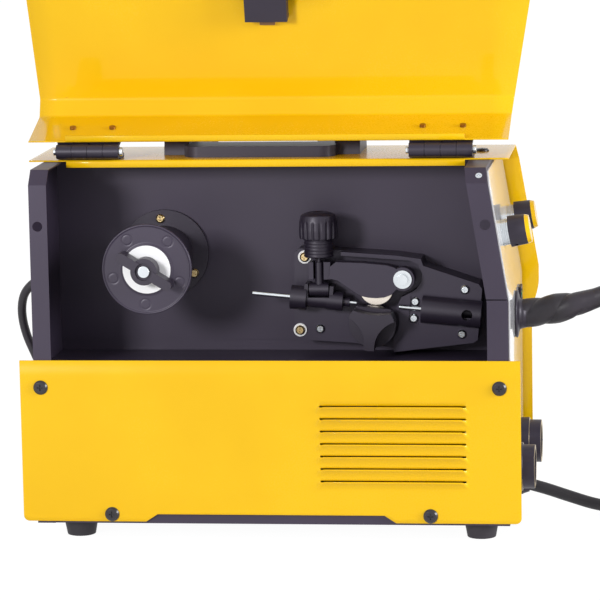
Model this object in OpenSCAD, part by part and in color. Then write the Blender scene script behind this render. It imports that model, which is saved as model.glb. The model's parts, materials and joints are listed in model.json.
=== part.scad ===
// MIG welding machine with an open wire compartment, as an assembly of separate pieces.
// +X is the front with the torch and sockets, -Y is the side with the door, +Z is up.
// The origin lies on the ground under the middle of the machine.

/* [Cabinet] */
// Length of the lower side panel, rear to front
body_l = 430; // [420:2:450]
// Width over both side covers
body_w = 198; // [196:1:206]
// Height of the top plate above the ground
body_h = 322; // [318:1:330]
// Thickness of the painted covers and the frame sheets
sheet = 1.2; // [1:0.1:1.6]
// Height of the covers' lower edge above the ground
skirt_z = 17; // [16:0.5:20]
// Width and height of the bevel between the top and the sides
bevel = 12.5; // [10:0.5:15]
// How far the covers stand out past the front panel, low down
front_hood = 10; // [8:0.5:14]
// How far the covers stand out past the rear panel, low down
rear_hood = 12; // [8:0.5:16]
// Height at which the front panel starts to lean back
bend_z = 207; // [203:1:212]
// Lean of the upper front panel, in degrees
front_lean = 9.2; // [7:0.1:11]
// How far the covers' nose stands out past their lower edge
nose_reach = 6.5; // [5:0.5:8]
// Height of the seam between the lower side panel and the door
split_z = 157.5; // [155:0.5:161]
// Height of the wire compartment's floor
floor_z = 146; // [143:1:148]
// Height of the lower edge of the compartment's wall sheet
wall_low_z = 155.5; // [152:0.5:158]
// Place of the wall between the wire compartment and the electronics
divider_y = 28; // [26:1:32]
// Depth of the frame's folded edges at the front
front_fold = 18; // [14:1:22]
// Depth of the frame's folded edges at the rear
rear_fold = 15.5; // [12:0.5:20]

/* [Door] */
// Place of the seam between the fixed top and the door
seam_y = -26.6; // [-30:0.2:-24]
// Gap along the seam
seam_gap = 2.1; // [1.5:0.1:3]
// How far the door stands open from closed, in degrees
door_open = 163; // [150:1:165]
// Diameter of the hinge barrels
barrel_d = 12.6; // [11:0.2:14]
// Length of a hinge barrel
barrel_l = 55; // [45:1:65]
// Diameter of the hinge pins
hinge_pin_d = 5; // [4:0.5:6]
// Width of the latch housing
latch_w = 37; // [32:1:42]
// Height of the latch housing
latch_h = 56; // [50:1:62]
// Travel of the latch bolt
latch_travel = 8; // [6:0.5:10]

/* [Spool hub] */
// Distance from the hub's axis back to the middle of the machine
hub_x = -106; // [-112:1:-100]
// Height of the hub's axis
hub_z = 233; // [228:1:238]
// Diameter of the hub's discs
disc_d = 78; // [70:1:84]
// Diameter of the barrel that the spool sits on
spool_bore = 50; // [48:1:52]
// Distance from the wall to the front disc's face
hub_reach = 104; // [98:1:106]

/* [Wire feeder] */
// Place of the contact point of the two rolls, along the machine
feed_x = 84; // [80:1:88]
// Place of the wire's line across the machine
feed_y = -8; // [-10:1:-6]
// Height of the contact point of the two rolls
feed_z = 192; // [188:1:196]
// Tilt of the feeder, front end down, in degrees
feed_tilt = 5.5; // [4:0.5:6]
// Diameter of the drive roll and the pressure roller
roll_d = 30; // [28:0.5:31]
// Width of the two rolls
roll_w = 10; // [8:0.5:11]
// Diameter of the three-lobed knob
lobe_d = 42; // [38:1:43]
// Diameter of the gun clamp
gun_clamp_d = 24; // [22:0.5:26]
// Diameter of the tension knob's cap
tension_d = 32.5; // [30:0.5:34]

/* [Front panel] */
// Distance of the knobs and sockets from the middle line
control_y = 50; // [46:1:54]
// Height of the two knobs
knob_z = 260.5; // [256:0.5:264]
// Diameter of the knobs
knob_d = 27; // [24:0.5:30]
// Height of a knob above its collar
knob_h = 18; // [15:0.5:20]
// Distance of the output sockets from the middle line
socket_y = 58; // [56:1:62]
// Height of the output sockets
socket_z = 59; // [56:1:64]
// Outer diameter of an output socket
socket_d = 42; // [36:1:44]
// Diameter of the socket's contact bore
contact_d = 13.1; // [9.1:0.5:13.1]
// Height of the torch connector
torch_z = 184; // [180:1:188]

/* [Cables] */
// Diameter of the torch hose
hose_d = 14.5; // [13:0.5:16]
// Diameter of the earth cable
earth_d = 10.5; // [10:0.5:12]
// Diameter of the mains cable
mains_d = 8; // [7:0.5:9]

/* [Hidden] */
$fn = 64;

// clearances
slack = 0.3; // between pieces that only lie beside each other
run = 0.05; // radial, between a shaft and its bore
eps = 0.01;

// cabinet
front_x = body_l / 2 - front_hood;
rear_x = -(body_l / 2 - rear_hood);
side_y = body_w / 2;
cover_in_y = side_y - sheet;
frame_y = cover_in_y - slack;
frame_top_z = body_h - sheet - slack;
base_z = skirt_z - 2;
hood_lean = 9.8;
nose_low_z = bend_z - 33;
nose_full_z = bend_z - 7;
nose_top_z = bend_z + 5;
hem_depth = 6.5;
rim_rear_x = rear_x + 20;
rim_front_x = front_x - 40;
cut_half_l = 108;
cut_h = 6.5;
cut_slope = 10;

// black pan-head screws
screw_d = 5;
screw_head_d = 12.4;
screw_head_h = 2.5;
screw_l = 9;
side_screw_x = 197;
side_screw_z = 134;
skirt_screw_x = 137.5;
skirt_screw_z = 23.5;
top_screw_x = 176;
top_screw_y = 31;
frame_screw_d = 5.6;
bevel_t = sheet * (2 + sqrt(2)) / 2 / sqrt(2);
frame_reach = 60;

// louvers
louver_n = 7;
louver_pitch = 10.83;
louver_l = 128;
louver_h = 8.6;
louver_reach = 3.2;
louver_x = 106;
louver_top_z = 118.8;

// feet
foot_d = 30;
foot_tip_d = 24.5;
foot_rear_x = -170;
foot_front_x = 179;
foot_y = 70;

// door and hinges
hinge_y = seam_y;
hinge_z = body_h + barrel_d / 2 + 1.1;
door_edge_y = seam_y - seam_gap;
door_low_z = split_z + 1;
hinge_rear_x = -163.5;
hinge_front_x = 144.2;
leaf_t = 3;
leaf_near = 5.6;
fixed_leaf_w = 20;
door_leaf_w = 34;
knuckles = 4;
rivet_inset = 10;
rivet_reach = 31;
latch_x = -8.5;
latch_top_z = 233;
latch_t = 13;
bolt_w = 9;
bolt_t = 4;
bolt_gap = 2;
tab_w = 13.4;

// handle
handle_x = -16;
plinth_l = 134;
plinth_near_y = -10;
plinth_w = 84;
plinth_h = 9.5;
grip_l = 173;
grip_foot = 22;
grip_near_y = 44;
grip_w = 26;
grip_top = 44;
grip_t = 13;

// spool hub
hub_flange_t = 4;
hub_shaft_d = 20;
hub_thread_d = 10;
hub_washer_d = 41.5;
hub_washer_t = 1.5;
wing_boss_d = 23;
wing_l = 54;
wing_t = 8.6;
wing_h = 16;

// feeder, in its own frame: x along the wire, y up, z towards the door
wire_gap = 0.8;
roll_off = roll_d / 2 + wire_gap / 2;
plate_front = -14;
raised_front = -3;
plate_back = feed_y - divider_y;
shaft_d = 10;
pivot_x = 22.7;
pivot_y = 26;
pivot_d = 8;
arm_front = 10.5;
arm_back = raised_front + 0.5;
roller_axle_d = 8;
tension_x = -50;
post_d = 7.3;
foot_r = 5.9;
foot_w = 17;
tension_pin_z = 205.6;
fork_rise = 24.6;
fork_back = -8.5;
sleeve_gap = 4.2;
sleeve_d = 26;
sleeve_h = 16.5;
cap_h = 23.6;
guide_in_x = -74.3;
guide_ring_w = 14;
guide_ring_d = 21;
guide_mid_d = 15;
guide_end_x = -28.4;
guide_tip_x = -22.4;
guide_tip_d = 8;
wire_tube_d = 4;
clamp_x0 = 40.8;
clamp_x1 = 93;

// front panel
face_t = 1.5;
face_x = front_x + face_t;
panel_edge = 3.5;
shaft_knob_d = 6;
collar_d = 22.6;
collar_h = 6;
switch_y = 45;
switch_z = 186;
switch_w = 22;
switch_h = 30;
switch_proud = 2.5;
rocker_w = 16;
rocker_h = 24;
rocker_tilt = 8;
rocker_x = face_x - 4;
socket_reach = 18.5;
socket_neck_d = 26;
torch_y = -8;
torch_flange_d = 42;
torch_hole_d = 22;
gland_y = 15;
gland_z = 28.5;
gland_d = 18;
earth_gland_l = 9.5;
mains_z = 203;
mains_gland_d = 19;
mains_gland_gap = 6;
mains_y = frame_y - mains_gland_d / 2 - mains_gland_gap;
mains_relief_l = 19.5;

// inner parts
fan_size = 120;
fan_t = 25;
fan_y = cover_in_y - fan_size / 2 - 7.8;
fan_z = 83;
fan_bore_d = 114;
fan_hub_d = 40;
fan_shaft_d = 6;
fan_blades = 7;
sink_l = 220;
sink_x = -145;
sink_y0 = frame_y - 60.5;
sink_w = 51;
sink_h = 95;
sink_fins = 9;
fin_t = 2;
board_t = 1.6;
core_x = 66;
core_y = -52;
core_l = 64;
core_w = 44;
core_h = 56;
core_leg = 12;
cap_d = 28;
cap_l = 38;
motor_d = 52;
motor_l = 56;
motor_z = plate_back - 2 * sheet + 0.4;
valve_w = 28;
valve_y = fan_y - fan_size / 2 - valve_w / 2 - 2;
valve_z = 108;
nipple_d = 8;

// routes of the cables, each from its exit to its coil
boot_route = [[208, -8, 184], [224, -8, 185.5], [240, -8, 188.3], [258, -8, 192.3], [276, -8, 197.8],
  [292, -8, 203.9], [306, -8, 209.3]];
boot_radii = [12.2, 12.7, 12.8, 10.9, 8.9, 8.5, 8.3];
hose_route = [[306, -8, 209.3], [330, -7.5, 215], [356, -5, 213.5], [383, 0, 203], [407, 8, 182],
  [424, 15.5, 154.5], [432, 22.5, 124], [432, 28, 93], [423, 31.3, 66], [402, 32.6, 46],
  [372, 32.75, 36.25]];
earth_route = [[216, 15, 28.5], [232, 15, 24], [252, 17, 17], [272, 19, 10.5], [292, 20, 6.8],
  [311, 19.8, 5.5], [330, 19.6, 5.3], [350, 19.55, 5.3]];
mains_route = [[-223, 82, 203], [-235, 82.5, 199.5], [-245, 86, 190], [-250, 92, 178], [-251, 97, 163],
  [-248, 101, 146], [-241, 104, 127], [-233, 106, 106], [-227, 107, 84], [-223, 108, 62],
  [-220, 109, 40], [-215, 112, 21], [-205, 118, 9], [-193, 127, 4.6], [-181, 137, 4.2],
  [-171.5, 147, 4.1], [-165.9, 157.1, 4.1]];
cord_sides = 10;
coil_layers = 3;
torch_coil_x = 372;
torch_coil_y = 115;
torch_ring = 75;
earth_coil_x = 350;
earth_coil_y = -38.7;
earth_ring = 53;
mains_coil_x = -120;
mains_coil_y = 154.5;
mains_ring = 42;

// torch, earth clamp and plug
torch_grip_d = 30;
torch_lie_z = coil_layers * hose_d + torch_grip_d / 2;
torch_turn = -84;
grip_len = 112;
neck_d = 16;
neck_r = 48;
neck_turn = 50;
nozzle_d = 20;
nozzle_l = 48;
plug_turn = 160;
jaw_l = 125;
jaw_w = 26;
jaw_t = 3;
jaw_pin_d = 6;
jaw_x = 72;
jaw_lug_r = 7.4;
plug_d = 37;
plug_l = 38;
plug_pin_d = 4.8;
plug_pin_l = 19;
plug_pin_gap = 19;

// ---------- helpers ----------

function unit(v) = v / norm(v);
function tangent(p, i) = unit(p[min(i + 1, len(p) - 1)] - p[max(i - 1, 0)]);
function square_to(u, t) = unit(u - (u * t) * t);
// reference direction of each ring, carried along the route without twisting
function ring_refs(p, start) = [for (i = 0, u = square_to(start, tangent(p, 0));
  i < len(p);
  i = i + 1, u = i < len(p) ? square_to(u, tangent(p, i)) : u) u];
// nose of the covers: a quarter sine out to its full reach
function nose(z) = z <= nose_low_z ? 0 : z >= nose_full_z ? 1
  : sin(90 * (z - nose_low_z) / (nose_full_z - nose_low_z));
function hood_x(z) = z <= nose_top_z ? body_l / 2 + nose_reach * nose(z)
  : body_l / 2 + nose_reach - (z - nose_top_z) * tan(hood_lean);
function tail_x(z) = z <= nose_top_z ? -body_l / 2 - (nose_reach - 0.5) * nose(z)
  : -body_l / 2 - (nose_reach - 0.5) + (z - nose_top_z) * 0.045;
// front frame's outer face at a height
function face_at(z) = z <= bend_z ? front_x : front_x - (z - bend_z) * tan(front_lean);

// tube along a route, as one closed skin; radius may be a list
module tube(route, radius, sides = cord_sides) {
  n = len(route);
  refs = ring_refs(route, [0, 1, 0]);
  rings = [for (i = [0:n - 1]) let (t = tangent(route, i), u = refs[i], v = cross(t, u),
    r = is_list(radius) ? radius[i] : radius)
    for (k = [0:sides - 1]) route[i] + r * (cos(360 * k / sides) * u + sin(360 * k / sides) * v)];
  walls = [for (i = [0:n - 2]) for (k = [0:sides - 1])
    let (a = i * sides + k, b = i * sides + (k + 1) % sides) [a, a + sides, b + sides, b]];
  polyhedron(rings, concat([[for (k = [0:sides - 1]) k]],
    walls, [[for (k = [0:sides - 1]) n * sides - 1 - k]]), 10);
}

// extrudes a Y-Z outline along X, from x0 to x1
module along_x(x0, x1) {
  translate([x0, 0, 0]) rotate([90, 0, 90]) linear_extrude(height = x1 - x0) children();
}

// extrudes an X-Z outline along Y, from y0 to y1
module along_y(y0, y1) {
  translate([0, y1, 0]) rotate([90, 0, 0]) linear_extrude(height = y1 - y0) children();
}

module rod_x(d, x0, x1) {
  translate([x0, 0, 0]) rotate([0, 90, 0]) cylinder(d = d, h = x1 - x0);
}

module box(x, y, z) {
  translate([x[0], y[0], z[0]]) cube([x[1] - x[0], y[1] - y[0], z[1] - z[0]]);
}

// Y-Z section of the cabinet, shrunk by inset from the covers' outer face
module section(inset) {
  y = side_y - inset;
  z = body_h - inset;
  b = bevel - inset * (2 - sqrt(2)) / 2;
  polygon([[-y, base_z], [-y, z - b], [-y + b, z], [y - b, z], [y, z - b], [y, base_z]]);
}

// X-Z outline shared by all side sheets
module side_outline(z0, z1) {
  heights = concat([z0], [for (k = [0:4]) nose_low_z + k * (nose_full_z - nose_low_z) / 4],
    [nose_top_z, z1]);
  used = [for (z = heights) if (z >= z0 && z <= z1) z];
  polygon(concat([for (z = used) [hood_x(z), z]],
    [for (k = [len(used) - 1:-1:0]) [tail_x(used[k]), used[k]]]));
}

// outline of the front frame and panel, between two depths behind its face
module face_band(depth0, depth1, z0, z1) {
  d = (z1 - bend_z) * tan(front_lean);
  polygon([[front_x - depth0, z0], [front_x - depth0, bend_z], [front_x - depth0 - d, z1],
    [front_x - depth1 - d, z1], [front_x - depth1, bend_z], [front_x - depth1, z0]]);
}

// frame of the feeder
module on_feeder() {
  translate([feed_x, feed_y, feed_z]) rotate([90, 0, 0]) rotate([0, 0, -feed_tilt]) children();
}

// frame of the hub: z points at the door, from the wall
module on_hub() {
  translate([hub_x, divider_y, hub_z]) rotate([90, 0, 0]) children();
}

// frame on the leaning front panel: z points out of it
module on_face(y, z) {
  translate([face_at(z) + face_t / cos(front_lean), y, z]) rotate([0, 90 - front_lean, 0]) children();
}

// frame of the small screw that is sunk in the bevel of the front frame, z outward
module on_frame_bevel() {
  b = bevel - (sheet + slack) * (2 - sqrt(2)) / 2;
  translate([face_at(body_h - 7) - 6.5, -frame_y + b / 2, frame_top_z - b / 2]) rotate([45, 0, 0]) children();
}

// turns what is drawn closed to the open place of the door
module opened() {
  translate([0, hinge_y, hinge_z]) rotate([-door_open, 0, 0]) translate([0, -hinge_y, -hinge_z])
    children();
}

// places of the side screws on one flank, with z along the outward normal
module at_side_screws(side) {
  for (p = [[-side_screw_x, side_screw_z], [side_screw_x, side_screw_z],
      [-skirt_screw_x, skirt_screw_z], [skirt_screw_x, skirt_screw_z]])
    translate([p[0], side * side_y, p[1]]) rotate([-side * 90, 0, 0]) children();
}

module at_top_screws() {
  for (x = [-top_screw_x, top_screw_x]) translate([x, top_screw_y, body_h]) children();
}

module screw_holes(d) {
  for (side = [-1, 1]) at_side_screws(side) translate([0, 0, -screw_l - 1]) cylinder(d = d, h = screw_l + 2);
  at_top_screws() translate([0, 0, -screw_l - 1]) cylinder(d = d, h = screw_l + 2);
}

// one louver's hood, or the hollow under it, on the near flank
module louver(hollow) {
  w = hollow ? 1 : 0;
  out = hollow ? [[sheet + 0.6, -louver_h + 1], [-louver_reach + 1, -1], [-louver_reach + 1, 0.6],
      [sheet + 0.6, 0.6]]
    : [[0.2, -louver_h], [-louver_reach, -1], [-louver_reach, 0], [0.2, 0]];
  translate([0, -side_y, 0]) along_x(louver_x - louver_l / 2 + w, louver_x + louver_l / 2 - w) polygon(out);
}

module louvers(hollow) {
  for (k = [0:louver_n - 1]) translate([0, 0, louver_top_z - k * louver_pitch]) louver(hollow);
}

// trapezoid cut in the lower edge of the side covers
module skirt_cut() {
  along_y(-side_y - 5, side_y + 5) polygon([[-cut_half_l, skirt_z - 1], [-cut_half_l + cut_slope, skirt_z + cut_h],
    [cut_half_l - cut_slope, skirt_z + cut_h], [cut_half_l, skirt_z - 1]]);
}

// holes through the front frame and the front panel
module front_openings() {
  for (y = [-control_y, control_y]) on_face(y, knob_z) translate([0, 0, -10]) cylinder(d = shaft_knob_d + 1, h = 20);
  box([front_x - 10, face_x + 5], [switch_y - rocker_w / 2 - 2, switch_y + rocker_w / 2 + 2],
    [switch_z - rocker_h / 2 - 2, switch_z + rocker_h / 2 + 2]);
  for (y = [-socket_y, socket_y]) translate([0, y, socket_z]) rod_x(socket_neck_d + 0.6, front_x - 10, face_x + 5);
  translate([0, torch_y, torch_z]) rod_x(torch_hole_d, front_x - 10, face_x + 5);
  translate([0, gland_y, gland_z]) rod_x(gland_d - 5, front_x - 10, face_x + 5);
}

// ---------- cabinet ----------

module base_tray() {
  fold_y = frame_y - sheet - 0.2;
  fold_z = skirt_screw_z + 14;
  color("dimgray") difference() {
    along_x(rear_x + sheet, front_x - sheet) polygon([[-fold_y, base_z], [fold_y, base_z],
      [fold_y, fold_z], [fold_y - 1.5, fold_z], [fold_y - 1.5, base_z + 1.5],
      [-fold_y + 1.5, base_z + 1.5], [-fold_y + 1.5, fold_z], [-fold_y, fold_z]]);
    screw_holes(screw_d);
    for (x = [foot_rear_x, foot_front_x], y = [-foot_y, foot_y]) translate([x, y, base_z - 1]) cylinder(d = 6, h = 4);
  }
}

module rubber_feet() {
  color([0.1, 0.1, 0.1]) for (x = [foot_rear_x, foot_front_x], y = [-foot_y, foot_y])
    translate([x, y, 0]) difference() {
      union() {
        cylinder(d1 = foot_tip_d, d2 = foot_d, h = base_z);
        translate([0, 0, base_z - eps]) cylinder(d = 6, h = 1.5 + eps);
      }
      translate([0, 0, -1]) cylinder(d = 11, h = 6);
    }
}

module rear_panel() {
  grille_n = 11;
  color("dimgray") difference() {
    union() {
      along_x(rear_x, rear_x + sheet) section(sheet + slack);
      difference() {
        along_x(rear_x, rear_x + rear_fold) section(sheet + slack);
        along_x(rear_x - 1, rear_x + rear_fold + 1) section(2 * sheet + slack);
        box([rear_x - 1, rear_x + rear_fold + 1], [-cover_in_y + 3, cover_in_y - 3], [base_z - 1, base_z + 5]);
      }
    }
    for (k = [0:grille_n - 1]) let (z = (k - (grille_n - 1) / 2) * 9.6,
      half = sqrt(pow(fan_bore_d / 2 - 2, 2) - pow(abs(z) + 2, 2)))
      box([rear_x - 1, rear_x + sheet + 1], [fan_y - half, fan_y + half], [fan_z + z - 2.2, fan_z + z + 2.2]);
    translate([0, valve_y, valve_z]) rod_x(nipple_d + 4.4, rear_x - 1, rear_x + sheet + 1);
    translate([0, mains_y, mains_z]) rod_x(mains_gland_d - 5, rear_x - 1, rear_x + sheet + 1);
    translate([rear_x + 7, -frame_y - 1, body_h - 49]) rotate([-90, 0, 0]) cylinder(d = 8.6, h = 4);
    screw_holes(screw_d);
  }
}

module front_frame() {
  color("dimgray") difference() {
    union() {
      intersection() {
        along_y(-side_y, side_y) face_band(0, sheet, base_z, frame_top_z);
        along_x(front_x - frame_reach, front_x + 5) section(sheet + slack);
      }
      intersection() {
        along_y(-side_y, side_y) face_band(0, front_fold, base_z, frame_top_z);
        difference() {
          along_x(front_x - frame_reach, front_x + 5) section(sheet + slack);
          along_x(front_x - frame_reach - 1, front_x + 6) section(2 * sheet + slack);
        }
      }
    }
    front_openings();
    screw_holes(screw_d);
    box([front_x - frame_reach, front_x + 5], [-frame_y - 1, -frame_y + sheet + 0.4], [bend_z + 2, bend_z + 3]);
    box([front_x - frame_reach, front_x - sheet - 0.05], [-frame_y + 3, frame_y - 3], [base_z - 1, base_z + 5]);
    on_frame_bevel() translate([0, 0, -3]) cylinder(d = frame_screw_d + 2 * run, h = 5);
    translate([front_x - 18.7, -frame_y - 1, body_h - 48.5]) rotate([-90, 0, 0]) cylinder(d = 9, h = 4);
  }
}

module front_panel() {
  color("white") difference() {
    intersection() {
      along_y(-side_y, side_y) face_band(-face_t, 0, skirt_z + 2, frame_top_z - 2);
      along_x(front_x - frame_reach, front_x + 5) section(sheet + panel_edge);
    }
    front_openings();
  }
}

module compartment_tray() {
  floor_y = frame_y - sheet - 0.2;
  color([0.2, 0.19, 0.22]) difference() {
    union() {
      intersection() {
        along_y(divider_y, divider_y + sheet) polygon([[rear_x + sheet, wall_low_z],
          [front_x - sheet, wall_low_z], [front_x - sheet, bend_z],
          [face_at(frame_top_z) - sheet, frame_top_z], [rear_x + sheet, frame_top_z]]);
        box([rear_x, front_x], [divider_y, divider_y + sheet], [wall_low_z, frame_top_z - sheet - slack]);
      }
      // lower part of the wall, stepped back behind the edge of the upper part
      box([rear_x + sheet, front_x - sheet], [divider_y + sheet - 0.4, divider_y + 2 * sheet - 0.4],
        [floor_z - sheet, wall_low_z + 3]);
      box([rear_x + sheet, front_x - sheet], [-floor_y, divider_y + 2 * sheet - 0.4], [floor_z - sheet, floor_z]);
      box([rear_x + rear_fold + 1, front_x - front_fold - 1], [-floor_y, -floor_y + sheet], [floor_z - 14, floor_z]);
    }
    screw_holes(screw_d);
    on_feeder() translate([0, -roll_off, plate_back - 5]) cylinder(d = shaft_d + 6, h = 8);
    on_hub() at_hub_screws() translate([0, 0, -4]) cylinder(d = 4.4, h = 8);
  }
}

module outer_cover() {
  color([0.97, 0.77, 0.12]) difference() {
    union() {
      intersection() {
        along_x(-body_l, body_l) polygon([[seam_y, body_h], [side_y - bevel, body_h], [side_y, body_h - bevel],
          [side_y, skirt_z], [side_y - sheet, skirt_z], [side_y - sheet, body_h - bevel - sheet * 0.414],
          [side_y - bevel - sheet * 0.414, body_h - sheet], [seam_y, body_h - sheet]]);
        along_y(-side_y - 1, side_y + 1) side_outline(skirt_z, body_h);
      }
      box([rim_rear_x, rim_front_x], [seam_y, seam_y + sheet], [body_h - hem_depth, body_h]);
      mirror([0, 1, 0]) louvers(false);
    }
    mirror([0, 1, 0]) louvers(true);
    skirt_cut();
    screw_holes(screw_d + 0.5);
    for (x = [hinge_rear_x, hinge_front_x], s = [-1, 1])
      translate([x + s * (barrel_l / 2 - 12), seam_y + leaf_near + fixed_leaf_w / 2, body_h - 5]) cylinder(d = 4.4, h = 8);
  }
}

module lower_side_panel() {
  corner = 5;
  color([0.97, 0.77, 0.12]) difference() {
    union() {
      along_y(-side_y, -cover_in_y) difference() {
        side_outline(skirt_z, split_z);
        for (x = [hood_x(skirt_z), tail_x(skirt_z)]) let (s = sign(x)) difference() {
          translate([x - s * corner, skirt_z]) translate([s > 0 ? 0 : -corner - 1, -1]) square([corner + 1, corner + 1]);
          translate([x - s * corner, skirt_z + corner]) circle(r = corner);
        }
      }
      louvers(false);
      box([rim_rear_x, rim_front_x], [-cover_in_y - eps, -cover_in_y + sheet - 0.3], [split_z - sheet, split_z]);
    }
    louvers(true);
    skirt_cut();
    screw_holes(screw_d + 0.5);
  }
}

module black_screws() {
  color([0.08, 0.08, 0.09]) {
    for (side = [-1, 1]) at_side_screws(side) pan_screw();
    at_top_screws() pan_screw();
  }
}

module pan_screw() {
  difference() {
    union() {
      rotate_extrude() intersection() {
        polygon([[0, 0], [screw_head_d / 2, 0], [screw_head_d / 2, 1], [screw_head_d / 2 - 1.6, screw_head_h],
          [0, screw_head_h]]);
        square([screw_head_d, screw_head_h]);
      }
      translate([0, 0, -screw_l]) cylinder(d = screw_d, h = screw_l);
    }
    for (a = [0, 90]) rotate([0, 0, a]) translate([-2.6, -0.5, 1]) cube([5.2, 1, 3]);
  }
}

// ---------- door, hinges and latch ----------

module side_door() {
  color([0.97, 0.77, 0.12]) opened() difference() {
    union() {
      intersection() {
        along_x(-body_l, body_l) polygon([[door_edge_y, body_h], [-side_y + bevel, body_h],
          [-side_y, body_h - bevel], [-side_y, door_low_z], [-side_y + sheet, door_low_z],
          [-side_y + sheet, body_h - bevel - sheet * 0.414], [-side_y + bevel + sheet * 0.414, body_h - sheet],
          [door_edge_y, body_h - sheet]]);
        along_y(-side_y - 1, side_y + 1) side_outline(door_low_z, body_h);
      }
      box([rim_rear_x, rim_front_x], [door_edge_y - sheet, door_edge_y], [body_h - hem_depth, body_h]);
    }
    box([latch_x - latch_w / 2 + 5, latch_x + latch_w / 2 - 5], [-side_y - 1, -cover_in_y + 1],
      [latch_top_z - latch_h + 6, latch_top_z - 6]);
    at_rivets() cylinder(d = 4.2, h = 20, center = true);
  }
}

module at_rivets() {
  for (x = [hinge_rear_x, hinge_front_x], s = [-1, 1])
    translate([x + s * (barrel_l / 2 - rivet_inset), hinge_y - rivet_reach, body_h]) children();
}

// barrel segments of one leaf, numbered from the rear
module knuckle_row(x, parts, bore) {
  step = barrel_l / knuckles;
  for (k = parts) translate([0, hinge_y, hinge_z]) difference() {
    rod_x(barrel_d, x - barrel_l / 2 + k * step + 0.15, x - barrel_l / 2 + (k + 1) * step - 0.15);
    rod_x(bore, x - barrel_l / 2 - 1, x + barrel_l / 2 + 1);
  }
}

// joins a leaf to its barrel segments; side is the leaf's side of the axis
module leaf_web(x, parts, side) {
  step = barrel_l / knuckles;
  reach = side > 0 ? [hinge_y, hinge_y + leaf_near + 2] : [hinge_y - leaf_near - 2, hinge_y];
  for (k = parts) difference() {
    box([x - barrel_l / 2 + k * step + 0.15, x - barrel_l / 2 + (k + 1) * step - 0.15], reach,
      [hinge_z - barrel_d / 2, hinge_z - barrel_d / 2 + leaf_t]);
    translate([0, hinge_y, hinge_z]) rod_x(hinge_pin_d + 1, x - barrel_l, x + barrel_l);
  }
}

module fixed_hinge_leaves() {
  color([0.1, 0.1, 0.11]) for (x = [hinge_rear_x, hinge_front_x]) {
    difference() {
      union() {
        knuckle_row(x, [0, 2], hinge_pin_d);
        leaf_web(x, [0, 2], 1);
        box([x - barrel_l / 2, x + barrel_l / 2], [hinge_y + leaf_near + 1, hinge_y + leaf_near + fixed_leaf_w],
          [body_h, body_h + leaf_t + 1]);
      }
      for (s = [-1, 1]) translate([x + s * (barrel_l / 2 - 12), seam_y + leaf_near + fixed_leaf_w / 2, body_h - 1])
        cylinder(d = 4, h = 8);
    }
    for (s = [-1, 1]) translate([x + s * (barrel_l / 2 - 12), seam_y + leaf_near + fixed_leaf_w / 2, 0]) {
      translate([0, 0, body_h - 4]) cylinder(d = 4, h = leaf_t + 5);
      translate([0, 0, body_h + leaf_t + 1]) cylinder(d1 = 8, d2 = 5.5, h = 1.6);
    }
  }
}

module door_hinge_leaves() {
  color([0.1, 0.1, 0.11]) opened() {
    for (x = [hinge_rear_x, hinge_front_x]) difference() {
      union() {
        knuckle_row(x, [1, 3], hinge_pin_d + 2 * run);
        leaf_web(x, [1, 3], -1);
        box([x - barrel_l / 2, x + barrel_l / 2], [hinge_y - leaf_near - door_leaf_w, hinge_y - leaf_near - 1],
          [body_h, body_h + leaf_t + 1]);
      }
      at_rivets() cylinder(d = 4, h = 20, center = true);
    }
    at_rivets() {
      translate([0, 0, -sheet - 2]) cylinder(d = 4, h = sheet + leaf_t + 3);
      translate([0, 0, -sheet - 2.4]) cylinder(d = 5.4, h = 2.4);
      translate([0, 0, leaf_t + 1]) cylinder(d1 = 7.6, d2 = 5, h = 1.4);
    }
  }
}

module hinge_pins() {
  color("silver") for (x = [hinge_rear_x, hinge_front_x]) translate([0, hinge_y, hinge_z]) {
    rod_x(hinge_pin_d, x - barrel_l / 2 - 1.5, x + barrel_l / 2 + 1);
    rod_x(7.4, x + barrel_l / 2 + 0.6, x + barrel_l / 2 + 3.2);
    rod_x(6.2, x - barrel_l / 2 - 2.6, x - barrel_l / 2 - 0.6);
  }
}

module latch_housing() {
  x0 = latch_x - latch_w / 2;
  x1 = latch_x + latch_w / 2;
  z0 = latch_top_z - latch_h;
  in_y = -cover_in_y;
  color([0.1, 0.1, 0.11]) opened() difference() {
    union() {
      box([x0, x1], [in_y, in_y + latch_t], [z0, latch_top_z]);
      box([x0 + 5.2, x1 - 5.2], [-side_y - 0.5, in_y + 1], [z0 + 6.2, latch_top_z - 6.2]);
      box([x0 - 3, x1 + 3], [-side_y - 2, -side_y], [z0 - 3, latch_top_z + 3]);
    }
    // slot for the bolt, from end to end
    box([latch_x - bolt_w / 2 - slack, latch_x + bolt_w / 2 + slack],
      [in_y + bolt_gap - slack, in_y + bolt_gap + bolt_t + slack], [z0 - 5, latch_top_z + 5]);
    box([latch_x - tab_w / 2 - slack, latch_x + tab_w / 2 + slack],
      [in_y + bolt_gap - slack, in_y + bolt_gap + bolt_t + slack], [latch_top_z - 10 - latch_travel, latch_top_z + 5]);
    // finger well on the outside
    box([latch_x - 9, latch_x + 9], [-side_y - 3, in_y + bolt_gap], [z0 + 13, latch_top_z - 15]);
    box([latch_x - 5, latch_x + 5], [-side_y - 3, in_y + bolt_gap + 1], [z0 + 16, latch_top_z - 18]);
  }
}

module latch_slider() {
  in_y = -cover_in_y + bolt_gap;
  low = door_low_z + 1.5;
  color([0.45, 0.33, 0.2]) opened() {
    box([latch_x - bolt_w / 2, latch_x + bolt_w / 2], [in_y, in_y + bolt_t], [low, latch_top_z]);
    box([latch_x - tab_w / 2, latch_x + tab_w / 2], [in_y, in_y + bolt_t], [latch_top_z - 8, latch_top_z + 5.4]);
    box([latch_x - 4.4, latch_x + 4.4], [-side_y + 0.2, in_y + 1], [latch_top_z - 29, latch_top_z - 21]);
  }
}

// ---------- handle ----------

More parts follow.
